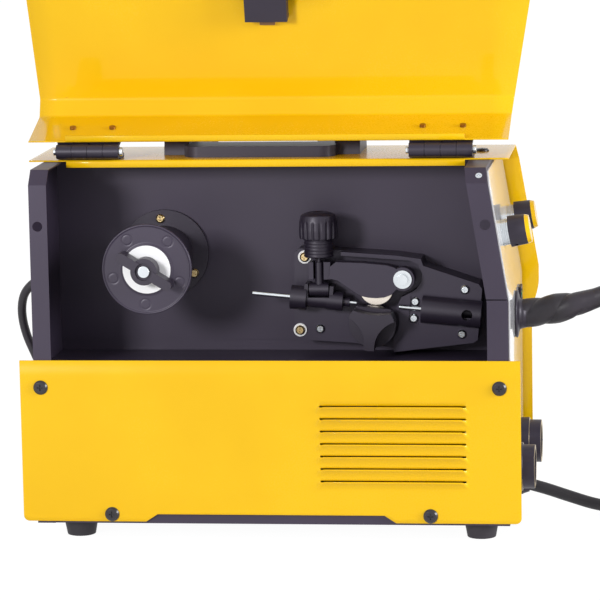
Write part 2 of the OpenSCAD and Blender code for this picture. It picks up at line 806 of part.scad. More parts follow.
module carry_handle() {
  end_r = 14;
  grip_far_y = grip_near_y + grip_w;
  far_y = plinth_near_y + plinth_w;
  color([0.12, 0.12, 0.13]) difference() {
    union() {
      translate([handle_x, plinth_near_y + plinth_w / 2, body_h]) linear_extrude(height = plinth_h) union() {
        square([plinth_l, plinth_w - 2 * end_r], center = true);
        square([plinth_l - 2 * end_r, plinth_w], center = true);
        for (x = [-1, 1], y = [-1, 1]) translate([x * (plinth_l / 2 - end_r), y * (plinth_w / 2 - end_r)]) circle(r = end_r);
      }
      for (s = [-1, 1]) let (a = handle_x + s * (grip_l / 2 - grip_foot / 2))
        along_x(a - grip_foot / 2, a + grip_foot / 2) polygon([[12, body_h], [15, body_h + 13], [28, body_h + 20],
          [38, body_h + 29], [grip_near_y, body_h + grip_top - 3], [grip_near_y + 4, body_h + grip_top],
          [grip_far_y - 4, body_h + grip_top], [grip_far_y, body_h + grip_top - 4], [far_y - 2, body_h + 10],
          [far_y, body_h]]);
      along_x(handle_x - grip_l / 2 + 4, handle_x + grip_l / 2 - 4) polygon([
        [grip_near_y, body_h + grip_top - grip_t + 4], [grip_near_y, body_h + grip_top - 3],
        [grip_near_y + 4, body_h + grip_top], [grip_far_y - 4, body_h + grip_top],
        [grip_far_y, body_h + grip_top - 4], [grip_far_y, body_h + grip_top - grip_t + 4],
        [grip_far_y - 4, body_h + grip_top - grip_t], [grip_near_y + 4, body_h + grip_top - grip_t]]);
    }
    // dished top of the plinth, under the fingers
    translate([handle_x, grip_near_y + grip_w / 2 - 4, body_h + plinth_h - 4.5]) linear_extrude(height = 5)
      square([plinth_l - 40, 46], center = true);
  }
}

// ---------- spool hub ----------

module at_hub_screws() {
  for (a = [96, 216, 326]) rotate([0, 0, a]) translate([31.5, 0, 0]) children();
}

module hub_base() {
  color([0.14, 0.14, 0.15]) on_hub() difference() {
    union() {
      cylinder(d = disc_d, h = hub_flange_t);
      cylinder(d = hub_shaft_d - 2 * run, h = hub_reach - 1);
      cylinder(d = hub_thread_d, h = hub_reach + wing_h + 1);
    }
    at_hub_screws() translate([0, 0, -1]) cylinder(d = 4.4, h = hub_flange_t + 2);
  }
}

module hub_barrel() {
  color([0.12, 0.12, 0.13]) on_hub() difference() {
    translate([0, 0, hub_flange_t + slack]) cylinder(d = spool_bore, h = hub_reach - hub_flange_t - slack - 4);
    translate([0, 0, hub_flange_t - 1]) cylinder(d = hub_shaft_d, h = hub_reach);
    for (a = [0:60:300]) rotate([0, 0, a]) translate([spool_bore / 2 - 6.5, 0, hub_flange_t + 10])
      cylinder(d = 8, h = hub_reach);
  }
}

module hub_front_disc() {
  color([0.14, 0.14, 0.15]) on_hub() difference() {
    translate([0, 0, hub_reach - 4]) cylinder(d = disc_d, h = 4);
    translate([0, 0, hub_reach - 5]) cylinder(d = hub_shaft_d, h = 6);
    for (a = [20:60:320]) rotate([0, 0, a]) translate([32, 0, hub_reach - 0.5]) difference() {
      cylinder(d = 9.4, h = 1);
      cylinder(d = 8.4, h = 1);
    }
  }
}

module hub_washer() {
  color("white") on_hub() translate([0, 0, hub_reach]) difference() {
    cylinder(d = hub_washer_d, h = hub_washer_t);
    translate([0, 0, -1]) cylinder(d = hub_thread_d + 2 * run, h = hub_washer_t + 2);
  }
}

module hub_wing_knob() {
  z0 = hub_reach + hub_washer_t + slack;
  color([0.1, 0.1, 0.11]) on_hub() translate([0, 0, z0]) rotate([0, 0, -31.4]) difference() {
    union() {
      cylinder(d = wing_boss_d, h = wing_h - 1);
      linear_extrude(height = wing_h) difference() {
        union() {
          square([wing_l - wing_t, wing_t], center = true);
          for (s = [-1, 1]) translate([s * (wing_l - wing_t) / 2, 0]) circle(d = wing_t);
        }
      }
    }
    translate([0, 0, -1]) cylinder(d = hub_thread_d + 2 * run, h = wing_h + 2);
    translate([0, 0, wing_h - 3]) cylinder(d = 15, h = 5);
  }
}

// ---------- wire feeder ----------

module feeder_housing() {
  outline = [[-76, 37], [-72, 41], [-40, 42.8], [14.7, 44.2], [36, 43.2], [38.5, 37.5], [88, 26], [91.5, 22],
    [91.5, -23], [88, -26], [20, -38], [-20, -38], [-64, -39.5], [-70, -34]];
  // raised front part, round the pressure arm and the drive knob
  raised = [[-34, 42.9], [14.7, 44.2], [36, 43.2], [38.5, 37.5], [88, 26], [91.5, 22], [91.5, -23], [88, -26],
    [38.9, -36.6], [19.4, -40.8], [18, -35], [18, -2], [22, 8.3], [28.9, 12.4], [34.4, 16.6], [38, 23],
    [38.4, 30.6], [34, 38.4], [26, 41], [-34, 39.7]];
  color([0.16, 0.15, 0.17]) on_feeder() difference() {
    union() {
      translate([0, 0, plate_back]) linear_extrude(height = plate_front - plate_back) polygon(outline);
      translate([0, 0, plate_front - eps]) linear_extrude(height = raised_front - plate_front + eps) polygon(raised);
      translate([pivot_x, pivot_y, plate_front - eps]) cylinder(d = 16, h = arm_back - slack - plate_front + eps);
    }
    translate([0, -roll_off, plate_back - 1]) cylinder(d = shaft_d, h = 60);
    translate([0, -roll_off, plate_front]) cylinder(r = lobe_d / 2 + 0.9, h = 40);
    translate([0, -roll_off, plate_front - 2]) cylinder(d = roll_d + 3, h = 20);
    translate([pivot_x, pivot_y, plate_back + 8]) cylinder(d = pivot_d - 2 * run, h = 60);
    rod_x(gun_clamp_d, clamp_x0, clamp_x1 + 1);
    at_feeder_screws() translate([0, 0, -12]) cylinder(d = 4, h = 20);
    at_brass_screws() translate([0, 0, -40]) cylinder(d = 4, h = 50);
    translate([34.5, -1.6, raised_front - 1.2]) linear_extrude(height = 8) polygon([[-4.6, -12], [4.6, -12],
      [4.6, 12], [-4.6, 12]]);
  }
}

module at_feeder_screws() {
  for (p = [[76.6, 20.3], [77.3, -19.2]]) translate([p[0], p[1], raised_front]) children();
  for (p = [[34.2, 5.5], [34.2, -9.3]]) translate([p[0], p[1], raised_front - 1.2]) children();
  translate([-47.8, -28.2, plate_front]) children();
}

module at_brass_screws() {
  for (p = [[-66.5, 34.1], [-65.3, -30.8]]) translate([p[0], p[1], plate_front]) children();
}

module insulating_washers() {
  color("white") on_feeder() at_brass_screws() difference() {
    cylinder(d = 11.8, h = 1.6);
    translate([0, 0, -1]) cylinder(d = 4, h = 4);
  }
}

module head_screw(d, head_d, head_h, l) {
  difference() {
    union() {
      rotate_extrude() polygon([[0, 0], [head_d / 2, 0], [head_d / 2, head_h * 0.45],
        [head_d / 2 - head_h * 0.5, head_h], [0, head_h]]);
      translate([0, 0, -l]) cylinder(d = d, h = l + eps);
    }
    for (a = [0, 90]) rotate([0, 0, a]) translate([-head_d * 0.27, -0.45, head_h * 0.35])
      cube([head_d * 0.54, 0.9, head_h]);
  }
}

module brass_screws() {
  color([0.8, 0.62, 0.3]) {
    on_feeder() at_brass_screws() translate([0, 0, 1.6]) head_screw(4, 8.4, 2.6, 20);
    on_hub() at_hub_screws() translate([0, 0, hub_flange_t]) head_screw(4.4, 8, 2.4, 6);
  }
}

module steel_screws() {
  color("silver") {
    on_feeder() {
      at_feeder_screws() head_screw(4, 8, 2.6, 8);
      // bolt that the pressure arm turns on, with its washer
      translate([pivot_x, pivot_y, 0]) {
        translate([0, 0, plate_back + 8]) cylinder(d = pivot_d - 2 * run, h = arm_front + slack - plate_back - 8);
        translate([0, 0, arm_front + slack]) cylinder(d = 16, h = 1.4);
        translate([0, 0, arm_front + slack + 1.4]) cylinder(d = 9.4, h = 4);
      }
    }
    on_frame_bevel() difference() {
      union() {
        translate([0, 0, -bevel_t]) cylinder(d = frame_screw_d, h = bevel_t);
        translate([0, 0, -bevel_t - 1.5]) cylinder(d = frame_screw_d + 2, h = 1.5);
      }
      for (a = [0, 90]) rotate([0, 0, a]) translate([-frame_screw_d * 0.3, -0.4, -0.6])
        cube([frame_screw_d * 0.6, 0.8, 1]);
    }
  }
}

module gun_clamp() {
  color([0.13, 0.13, 0.14]) on_feeder() difference() {
    rod_x(gun_clamp_d - 2 * run, clamp_x0, clamp_x1);
    translate([81, 0, 5]) cylinder(d = 9.5, h = 20);
    rod_x(wire_tube_d, clamp_x0 - 1, clamp_x1 + 1);
    translate([0, 0, 0]) rod_x(12, clamp_x0 + 10, clamp_x1 + 1);
  }
}

module wire_guide() {
  pin_y = tension_local_y();
  color([0.12, 0.12, 0.13]) {
    on_feeder() difference() {
      union() {
        rod_x(guide_ring_d, guide_in_x, guide_in_x + guide_ring_w);
        rod_x(guide_mid_d, guide_in_x, guide_end_x);
        rod_x(guide_mid_d + 1.5, guide_end_x - 14, guide_end_x);
        rod_x(guide_tip_d, guide_end_x - 1, guide_tip_x);
        // foot that stands on the housing
        box([guide_in_x + 2, guide_end_x - 1], [-6, 5], [plate_front, 0]);
        // ears that hold the tension pin
        for (s = [-1, 1]) translate([tension_x + s * (foot_w / 2 + 2.6), 0, 0]) box([-1.6, 1.6], [0, pin_y + 4.4],
          [plate_front, 6]);
      }
      rod_x(wire_tube_d, guide_in_x - 1, guide_tip_x + 1);
      translate([tension_x, pin_y, 0]) rotate([0, 0, feed_tilt]) {
        rod_x(2 * foot_r + 1.2, -foot_w / 2 - 0.8, foot_w / 2 + 0.8);
        box([-foot_w / 2 - 0.8, foot_w / 2 + 0.8], [-foot_r - 0.6, 20], [-foot_r - 0.6, 20]);
      }
    }
    translate([feed_x + tension_dx(), feed_y, tension_pin_z]) rod_x(3.9, -foot_w / 2 - 4, foot_w / 2 + 4);
  }
}

// place of the tension pin, from the feeder's origin
function tension_dx() = tension_x * cos(feed_tilt) + tension_local_y() * sin(feed_tilt);
function tension_local_y() = (tension_pin_z - feed_z + tension_x * sin(feed_tilt)) / cos(feed_tilt);

module guide_tubes() {
  color("silver") on_feeder() difference() {
    union() {
      rod_x(wire_tube_d, guide_in_x - 34, guide_in_x + 12);
      rod_x(wire_tube_d, guide_tip_x - 8, guide_tip_x + 6);
      rod_x(wire_tube_d, clamp_x0 - 20, clamp_x0 + 8);
    }
    rod_x(1.6, guide_in_x - 40, clamp_x0 + 20);
  }
}

module pressure_arm() {
  cheek = [[-41.5, 30.8], [-36.5, 35.6], [-13, 37], [8, 37], [15, 35.6], [20, 32], [22, 21], [17, 15], [14, 11.5], [8, 8.6], [1, 7.3],
    [-6, 7.1], [-12, 7.9], [-18.2, 10.6], [-27.3, 15.7], [-34, 19.4], [-41.5, 20.4]];
  prong = fork_rise - 15.5;
  color([0.16, 0.15, 0.17]) on_feeder() difference() {
    union() {
      translate([0, 0, arm_back]) linear_extrude(height = arm_front - arm_back) polygon(cheek);
      translate([pivot_x, pivot_y, arm_back]) cylinder(r = 10.4, h = arm_front - arm_back);
      // upright fork that the tension post lies in, open towards the door
      translate([tension_x, tension_local_y(), fork_back]) rotate([0, 0, feed_tilt]) {
        linear_extrude(height = 4) polygon([[-9, prong], [10.5, prong], [10.5, fork_rise], [-9, fork_rise]]);
        linear_extrude(height = 5 - fork_back) polygon([[-9, prong], [-4.4, prong], [-4.4, fork_rise],
          [-9, fork_rise]]);
        linear_extrude(height = 5 - fork_back) polygon([[4.4, prong], [10.5, prong], [10.5, fork_rise],
          [4.4, fork_rise]]);
      }
      translate([0, roll_off, -roll_w / 2]) cylinder(d = roller_axle_d - 2 * run, h = roll_w + 2);
    }
    translate([pivot_x, pivot_y, arm_back - 1]) cylinder(d = pivot_d, h = 40);
    difference() {
      translate([0, roll_off, -roll_w / 2 - 0.4]) cylinder(d = roll_d + 2, h = roll_w + 0.8);
      translate([0, roll_off, -roll_w / 2 - 2]) cylinder(d = roller_axle_d - 2 * run, h = roll_w + 4);
    }
  }
}

module pressure_roller() {
  color("silver") on_feeder() translate([0, roll_off, -roll_w / 2]) difference() {
    cylinder(d = roll_d, h = roll_w);
    translate([0, 0, -1]) cylinder(d = roller_axle_d, h = roll_w + 2);
  }
}

module at_tension() {
  translate([feed_x + tension_dx(), feed_y, tension_pin_z]) children();
}

module tension_stud() {
  color([0.13, 0.13, 0.14]) at_tension() difference() {
    union() {
      rod_x(2 * foot_r, -foot_w / 2, foot_w / 2);
      cylinder(d = post_d, h = fork_rise - 0.6);
      cylinder(d = 4, h = fork_rise + sleeve_gap + sleeve_h + 10);
    }
    rod_x(4, -foot_w, foot_w);
  }
}

module tension_knob() {
  z0 = fork_rise + sleeve_gap;
  flutes = 16;
  color([0.12, 0.12, 0.13]) at_tension() difference() {
    rotate_extrude() polygon([[0, z0], [sleeve_d / 2 - 1, z0], [sleeve_d / 2, z0 + 1], [sleeve_d / 2, z0 + sleeve_h],
      [tension_d / 2 - 0.8, z0 + sleeve_h], [tension_d / 2, z0 + sleeve_h + 1.2], [tension_d / 2 - 0.6, z0 + sleeve_h + 12],
      [tension_d / 2 - 3, z0 + sleeve_h + 18], [tension_d / 2 - 7, z0 + sleeve_h + cap_h - 1.4],
      [tension_d / 2 - 11, z0 + sleeve_h + cap_h], [0, z0 + sleeve_h + cap_h]]);
    translate([0, 0, z0 - 1]) cylinder(d = 4 + 2 * run, h = sleeve_h + 12);
    for (k = [0:flutes - 1]) rotate([0, 0, 360 * k / flutes]) translate([tension_d / 2 + 0.9, 0, z0 + sleeve_h - 1])
      cylinder(d = 3.4, h = 15);
  }
}

module drive_roll() {
  color("silver") on_feeder() translate([0, -roll_off, 0]) difference() {
    union() {
      translate([0, 0, -roll_w / 2]) cylinder(d = roll_d, h = roll_w);
      translate([0, 0, motor_z - 11]) cylinder(d = shaft_d - 2 * run, h = roll_w / 2 + 23 - motor_z);
    }
    rotate_extrude() translate([roll_d / 2, 0]) circle(d = 1, $fn = 16);
  }
}

module drive_roll_knob() {
  z0 = roll_w / 2 + slack;
  color([0.13, 0.13, 0.14]) on_feeder() translate([0, -roll_off, z0]) difference() {
    union() {
      difference() {
        cylinder(d = lobe_d - 1, h = 7);
        translate([-lobe_d, lobe_d * 0.34, -1]) cube([2 * lobe_d, lobe_d, 9]);
      }
      translate([0, 0, 6]) linear_extrude(height = 19) difference() {
        circle(d = lobe_d);
        rotate(90) translate([71, 0]) circle(r = 60);
        for (a = [210, 330]) rotate(a) translate([34, 0]) circle(r = 25);
      }
    }
    translate([0, 0, -1]) cylinder(d = shaft_d - 2 * run, h = 13);
  }
}

module feed_motor() {
  color([0.55, 0.56, 0.58]) on_feeder() translate([0, -roll_off, motor_z]) difference() {
    union() {
      translate([0, 0, -14]) cylinder(d = 44, h = 14);
      translate([0, 0, -motor_l]) cylinder(d = motor_d, h = motor_l - 14 + eps);
      translate([0, 0, -motor_l - 5]) cylinder(d = 18, h = 6);
    }
    translate([0, 0, -12]) cylinder(d = shaft_d, h = 20);
  }
}

// ---------- front and rear fittings ----------

module knob_collars() {
  color("silver") for (y = [-control_y, control_y]) on_face(y, knob_z) difference() {
    cylinder(d = collar_d, h = collar_h);
    translate([0, 0, -1]) cylinder(d = shaft_knob_d, h = collar_h + 2);
    for (k = [0:2]) translate([0, 0, 1.2 + 1.6 * k]) difference() {
      cylinder(d = collar_d + 1, h = 0.7);
      translate([0, 0, -1]) cylinder(d = collar_d - 1, h = 3);
    }
  }
}

module knob() {
  cap_t = 3.4;
  difference() {
    union() {
      translate([0, 0, collar_h + slack]) cylinder(d1 = knob_d, d2 = knob_d - 1.6, h = knob_h - cap_t);
      translate([0, 0, collar_h + slack + knob_h - cap_t - eps]) cylinder(d1 = knob_d - 1.6, d2 = knob_d - 4, h = cap_t);
      translate([0, 0, -9]) cylinder(d = shaft_knob_d - 2 * run, h = 12 + collar_h);
    }
    translate([0, 0, collar_h + 5]) rotate([90, 0, 60]) cylinder(d = 3, h = knob_d);
  }
}

module wire_speed_knob() {
  color([0.11, 0.11, 0.12]) on_face(-control_y, knob_z) knob();
}

module voltage_knob() {
  color([0.11, 0.11, 0.12]) on_face(control_y, knob_z) knob();
}

module switch_bezel() {
  color([0.08, 0.08, 0.09]) difference() {
    union() {
      box([face_x, face_x + switch_proud], [switch_y - switch_w / 2, switch_y + switch_w / 2],
        [switch_z - switch_h / 2, switch_z + switch_h / 2]);
      box([front_x - 20, face_x + 1], [switch_y - rocker_w / 2 - 1.8, switch_y + rocker_w / 2 + 1.8],
        [switch_z - rocker_h / 2 - 1.8, switch_z + rocker_h / 2 + 1.8]);
    }
    box([front_x - 12, face_x + 5], [switch_y - rocker_w / 2 - slack, switch_y + rocker_w / 2 + slack],
      [switch_z - rocker_h / 2 - slack, switch_z + rocker_h / 2 + slack]);
  }
  translate([rocker_x, switch_y, switch_z]) rotate([90, 0, 0]) cylinder(d = 3 - 2 * run, h = rocker_w + 2, center = true);
}

module power_switch() {
  color([0, 0.5, 0.33]) translate([rocker_x, switch_y, switch_z]) rotate([0, rocker_tilt, 0])
    rotate([90, 0, 0]) difference() {
      linear_extrude(height = rocker_w, center = true) polygon([[-3, -5], [-3, 5], [0, rocker_h / 2 - 0.8],
        [6, rocker_h / 2 - 1.2], [5, 0], [6, -rocker_h / 2 + 1.2], [0, -rocker_h / 2 + 0.8]]);
      cylinder(d = 3, h = rocker_w + 2, center = true);
    }
}

module output_sockets() {
  for (y = [-socket_y, socket_y]) translate([0, y, socket_z]) {
    color([0.1, 0.1, 0.11]) difference() {
      union() {
        rod_x(socket_d, face_x, face_x + 8);
        rod_x(socket_d - 4, face_x + 8 - eps, face_x + socket_reach);
        rod_x(socket_neck_d, face_x - 22, face_x + 1);
      }
      rod_x(socket_d - 12, face_x + socket_reach - 12, face_x + socket_reach + 1);
      rod_x(20, face_x - 30, face_x + socket_reach + 1);
    }
    color([0.8, 0.62, 0.3]) difference() {
      rod_x(20, face_x - 26, face_x + socket_reach - 3);
      rod_x(contact_d, face_x - 16, face_x + socket_reach);
    }
  }
}

module cable_glands() {
  color([0.1, 0.1, 0.11]) {
    translate([0, gland_y, gland_z]) {
      rod_x(gland_d, face_x, face_x + 4);
      translate([face_x + 4 - eps, 0, 0]) rotate([0, 90, 0]) cylinder(d1 = gland_d - 1, d2 = earth_d + 3,
        h = earth_gland_l - 4 + eps);
      rod_x(gland_d - 5.4, front_x - 12, face_x + 1);
      rod_x(gland_d, front_x - 8, front_x - sheet - 0.1);
    }
    translate([0, mains_y, mains_z]) mirror([1, 0, 0]) {
      rod_x(mains_gland_d, -rear_x, -rear_x + 4);
      translate([-rear_x + 4 - eps, 0, 0]) rotate([0, 90, 0]) cylinder(d1 = mains_gland_d - 4, d2 = mains_d + 3,
        h = mains_relief_l - 4 + 0.5);
      rod_x(mains_gland_d - 5.4, -rear_x - 10, -rear_x + 1);
      rod_x(mains_gland_d, -rear_x - 7, -rear_x - sheet - 0.1);
    }
  }
}

module gas_inlet() {
  color([0.75, 0.6, 0.3]) translate([0, valve_y, valve_z]) mirror([1, 0, 0]) difference() {
    union() {
      rod_x(nipple_d, -rear_x - 4, -rear_x + 22);
      rod_x(nipple_d + 4, -rear_x - 6, -rear_x + 1);
      rotate([0, 90, 0]) translate([0, 0, -rear_x + 0.1]) cylinder(d = 17, h = 5, $fn = 6);
      box([-rear_x - 40, -rear_x - sheet - 0.2], [-valve_w / 2, valve_w / 2], [-valve_w / 2, valve_w / 2]);
    }
    rod_x(4.4, -rear_x - 30, -rear_x + 30);
    // grip grooves near the nipple's end
    for (k = [0:1]) translate([-rear_x + 16 + 3 * k, 0, 0]) rotate([0, 90, 0]) rotate_extrude()
      polygon([[nipple_d / 2 + 0.1, 0], [nipple_d / 2 - 0.6, 0.5], [nipple_d / 2 - 0.6, 1], [nipple_d / 2 + 0.1, 1.5]]);
  }
}

// ---------- inner parts ----------

module fan_frame() {
  x0 = rear_x + sheet;
  color([0.2, 0.2, 0.22]) difference() {
    union() {
      difference() {
        box([x0, x0 + fan_t], [fan_y - fan_size / 2, fan_y + fan_size / 2], [fan_z - fan_size / 2, fan_z + fan_size / 2]);
        translate([0, fan_y, fan_z]) rod_x(fan_bore_d, x0 - 1, x0 + fan_t + 1);
      }
      translate([0, fan_y, fan_z]) {
        rod_x(fan_hub_d, x0 + fan_t - 4, x0 + fan_t);
        rod_x(fan_shaft_d - 2 * run, x0 + 3, x0 + fan_t);
        for (a = [45:90:315]) rotate([a, 0, 0])
          box([x0 + fan_t - 4, x0 + fan_t], [fan_hub_d / 2 - 2, fan_bore_d / 2 + 2], [-2, 2]);
      }
    }
    for (y = [-1, 1], z = [-1, 1]) translate([0, fan_y + y * 52.5, fan_z + z * 52.5]) rod_x(4.5, x0 - 1, x0 + fan_t + 1);
  }
}

module fan_rotor() {
  x0 = rear_x + sheet + 2.5;
  color([0.16, 0.16, 0.18]) translate([0, fan_y, fan_z]) difference() {
    union() {
      rod_x(fan_hub_d, x0, x0 + 17.5);
      for (k = [0:fan_blades - 1]) rotate([360 * k / fan_blades, 0, 0]) translate([x0 + 9, 0, fan_hub_d / 2 - 2])
        rotate([0, 0, 38]) translate([-0.9, -11, 0]) cube([1.8, 22, fan_bore_d / 2 - fan_hub_d / 2 - 3]);
    }
    rod_x(fan_shaft_d, x0 - 1, x0 + 20);
  }
}

module heat_sink() {
  gap = (sink_w - fin_t) / (sink_fins - 1);
  color([0.7, 0.71, 0.73]) {
    box([sink_x, sink_x + sink_l], [sink_y0, sink_y0 + sink_w], [base_z + 1.5 + sink_h - 6, base_z + 1.5 + sink_h]);
    for (k = [0:sink_fins - 1]) box([sink_x, sink_x + sink_l], [sink_y0 + k * gap, sink_y0 + k * gap + fin_t],
      [base_z + 1.5, base_z + 1.5 + sink_h - 5]);
  }
}

module inverter_board() {
  z0 = base_z + 1.5 + sink_h;
  color([0.1, 0.35, 0.2]) {
    box([sink_x - 5, sink_x + sink_l + 5], [sink_y0 - 4, sink_y0 + sink_w], [z0, z0 + board_t]);
    for (k = [0:3]) translate([sink_x + 24 + 34 * k, sink_y0 + sink_w - 18, z0 + board_t - eps])
      cylinder(d = cap_d, h = cap_l);
    for (k = [0:2]) box([sink_x + 16 + 44 * k, sink_x + 44 + 44 * k], [sink_y0 + 2, sink_y0 + 16],
      [z0 + board_t - eps, z0 + board_t + 16]);
  }
}

module transformer() {
  core_z = base_z + 1.5;
  x0 = core_x + core_leg;
  x1 = core_x + core_l - core_leg;
  z0 = core_z + core_leg;
  z1 = core_z + core_h - core_leg;
  color([0.25, 0.22, 0.2]) difference() {
    box([core_x, core_x + core_l], [core_y - core_w / 2, core_y + core_w / 2], [core_z, core_z + core_h]);
    box([x0, x1], [core_y - core_w / 2 - 1, core_y + core_w / 2 + 1], [z0, z1]);
  }
  color([0.72, 0.45, 0.2]) box([x0 + slack, x1 - slack], [core_y - core_w / 2 - 6, core_y + core_w / 2 + 6],
    [z0 + slack, z1 - slack]);
}

// ---------- cables and what is on them ----------

module flat_coil(x, y, ring, d) {
  translate([x, y, 0]) rotate_extrude() translate([ring - d, 0]) square([2 * d, coil_layers * d]);
}

module mains_cable() {
  color([0.13, 0.13, 0.14]) tube(mains_route, mains_d / 2);
}

module mains_coil() {
  color([0.13, 0.13, 0.14]) flat_coil(mains_coil_x, mains_coil_y, mains_ring, mains_d);
}

module mains_plug() {
  lie_z = coil_layers * mains_d + plug_d / 2;
  color([0.12, 0.12, 0.13]) translate([mains_coil_x, mains_coil_y, lie_z]) rotate([0, 0, plug_turn]) {
    difference() {
      union() {
        rod_x(plug_d, 0, plug_l - 8);
        rod_x(plug_d - 4, -6, 1);
        rod_x(plug_d - 3, plug_l - 8 - eps, plug_l);
      }
      for (s = [-1, 1]) translate([0, s * (plug_d / 2), 0]) box([plug_l - 14, plug_l + 1], [-1.4, 1.4], [-3, 3]);
    }
    translate([-6 + eps, 0, 0]) rotate([0, -90, 0]) cylinder(d1 = 16, d2 = mains_d + 3, h = 20);
    for (s = [-1, 1]) translate([0, 0, s * plug_pin_gap / 2]) rod_x(plug_pin_d, plug_l - 1, plug_l + plug_pin_l);
    translate([-25, 0, 0]) rotate([0, 210, 0]) cylinder(d = mains_d + 2, h = lie_z);
  }
}

module earth_cable() {
  color([0.15, 0.15, 0.16]) tube(earth_route, earth_d / 2);
}

module earth_coil() {
  color([0.15, 0.15, 0.16]) flat_coil(earth_coil_x, earth_coil_y, earth_ring, earth_d);
}

// frame of the clamp: x along it towards its mouth, z up from the coil's top
module on_clamp() {
  translate([earth_coil_x - 24, earth_coil_y - 18, coil_layers * earth_d]) children();
}

// one arm of the earth clamp, with its mouth along +x
module clamp_arm(side) {
  linear_extrude(height = jaw_w) polygon([[0, side * 22], [40, side * 17], [jaw_x - 10, side * 12],
    [jaw_x + 10, side * 11], [jaw_x + 26, side * 13], [jaw_l - 2, side * 3.2], [jaw_l, side * 0.4],
    [jaw_l - 6, side * 0.4], [jaw_x + 27, side * 8.5], [jaw_x + 12, side * 1.6], [jaw_x - 12, side * 3],
    [38, side * 12], [0, side * 17.6]]);
}

module earth_clamp() {
  color([0.72, 0.6, 0.32]) on_clamp() {
    difference() {
      clamp_arm(-1);
      translate([jaw_x, 0, jaw_t]) cylinder(r = jaw_lug_r + 0.6, h = jaw_w - 2 * jaw_t);
    }
    for (z = [0, jaw_w - jaw_t]) translate([jaw_x, 0, z]) cylinder(r = jaw_lug_r - 1, h = jaw_t);
    translate([jaw_x, 0, 0]) cylinder(d = jaw_pin_d, h = jaw_w);
    // cable sleeve behind the fixed arm
    translate([0, -19.8, jaw_w / 2]) {
      rod_x(earth_d + 3, -18, 16);
      translate([-17, 0, 0]) rotate([0, 150, 0]) cylinder(d = earth_d + 2, h = jaw_w / 2 + 16);
    }
  }
}

module earth_clamp_jaw() {
  color([0.72, 0.6, 0.32]) on_clamp() difference() {
    union() {
      difference() {
        clamp_arm(1);
        for (z = [-1, jaw_w - jaw_t - slack]) translate([jaw_x, 0, z]) cylinder(r = jaw_lug_r + 0.6, h = jaw_t + 1 + slack);
      }
      translate([jaw_x, 0, jaw_t + slack]) cylinder(r = jaw_lug_r, h = jaw_w - 2 * jaw_t - 2 * slack);
    }
    translate([jaw_x, 0, -1]) cylinder(d = jaw_pin_d + 2 * run, h = jaw_w + 2);
  }
}

module torch_boot() {
  color([0.14, 0.13, 0.15]) {
    translate([0, torch_y, torch_z]) {
      difference() {
        union() {
          rod_x(torch_flange_d, face_x + 0.3, face_x + 3);
          rod_x(torch_flange_d - 8, face_x + 3 - eps, face_x + 5);
          rod_x(torch_hole_d - 1, front_x - 18, face_x + 1);
        }
      }
    }
    tube(boot_route, boot_radii, 12);
  }
}

module torch_hose() {
  color([0.13, 0.13, 0.14]) tube(hose_route, hose_d / 2);
}

module torch_coil() {
  color([0.13, 0.13, 0.14]) flat_coil(torch_coil_x, torch_coil_y, torch_ring, hose_d);
}

// frame of the torch: x along its grip, lying on the coil
module on_torch() {
  translate([torch_coil_x - 11.8, torch_coil_y + 64.8, torch_lie_z]) rotate([0, 0, torch_turn]) children();
}

module torch() {
  color([0.12, 0.12, 0.13]) on_torch() {
    difference() {
      union() {
        rod_x(torch_grip_d - 4, 0, grip_len);
        rod_x(torch_grip_d, 18, grip_len - 26);
        rod_x(20, -14, 1);
        translate([-10, 0, 0]) rotate([0, 160, 0]) cylinder(d = hose_d + 2, h = 36);
        translate([grip_len - eps, 0, 0]) {
          rod_x(neck_d + 4, 0, 10);
          translate([10 - eps, -neck_r, 0]) rotate([0, 0, 90 - neck_turn])
            rotate_extrude(angle = neck_turn) translate([neck_r, 0]) circle(d = neck_d, $fn = 32);
          translate([10, -neck_r, 0]) rotate([0, 0, -neck_turn]) translate([0, neck_r, 0]) {
            rod_x(neck_d + 2, -1, 14);
            rod_x(nozzle_d, 12, 12 + nozzle_l - 14);
            translate([12 + nozzle_l - 14 - eps, 0, 0]) rotate([0, 90, 0]) cylinder(d1 = nozzle_d, d2 = nozzle_d - 5, h = 14);
          }
        }
      }
      // slot of the trigger
      box([grip_len - 58, grip_len - 20], [-20, -5], [-5.5, 5.5]);
      translate([10 + grip_len, -neck_r, 0]) rotate([0, 0, -neck_turn]) translate([0, neck_r, 0])
        rod_x(nozzle_d - 8, 24, 14 + nozzle_l);
    }
    translate([grip_len - 24, -8, 0]) cylinder(d = 3.9, h = 14, center = true);
  }
}

module torch_trigger() {
  color([0.3, 0.3, 0.32]) on_torch() difference() {
    translate([0, 0, -4.8]) linear_extrude(height = 9.6) polygon([[grip_len - 21.4, -5.6], [grip_len - 20.8, -10.6],
      [grip_len - 30, -15.5], [grip_len - 46, -19.5], [grip_len - 55, -17.5], [grip_len - 56, -12.6], [grip_len - 50, -12]]);
    translate([grip_len - 24, -8, -10]) cylinder(d = 4, h = 20);
  }
}

base_tray();
rubber_feet();
rear_panel();
front_frame();
front_panel();
compartment_tray();
outer_cover();
lower_side_panel();
side_door();
carry_handle();
fixed_hinge_leaves();
door_hinge_leaves();
hinge_pins();
black_screws();
latch_housing();
latch_slider();
hub_base();
hub_barrel();
hub_front_disc();
hub_washer();
hub_wing_knob();
feeder_housing();
insulating_washers();
brass_screws();
steel_screws();
gun_clamp();
wire_guide();
guide_tubes();
pressure_arm();
pressure_roller();
tension_stud();
tension_knob();
drive_roll();
drive_roll_knob();
feed_motor();
knob_collars();
wire_speed_knob();
voltage_knob();
power_switch();
switch_bezel();
output_sockets();
inverter_board();
heat_sink();
transformer();
fan_frame();
fan_rotor();
gas_inlet();
cable_glands();
mains_cable();
mains_coil();
mains_plug();
earth_cable();
earth_coil();
earth_clamp();
earth_clamp_jaw();
torch_boot();
torch_hose();
torch_coil();
torch();
torch_trigger();
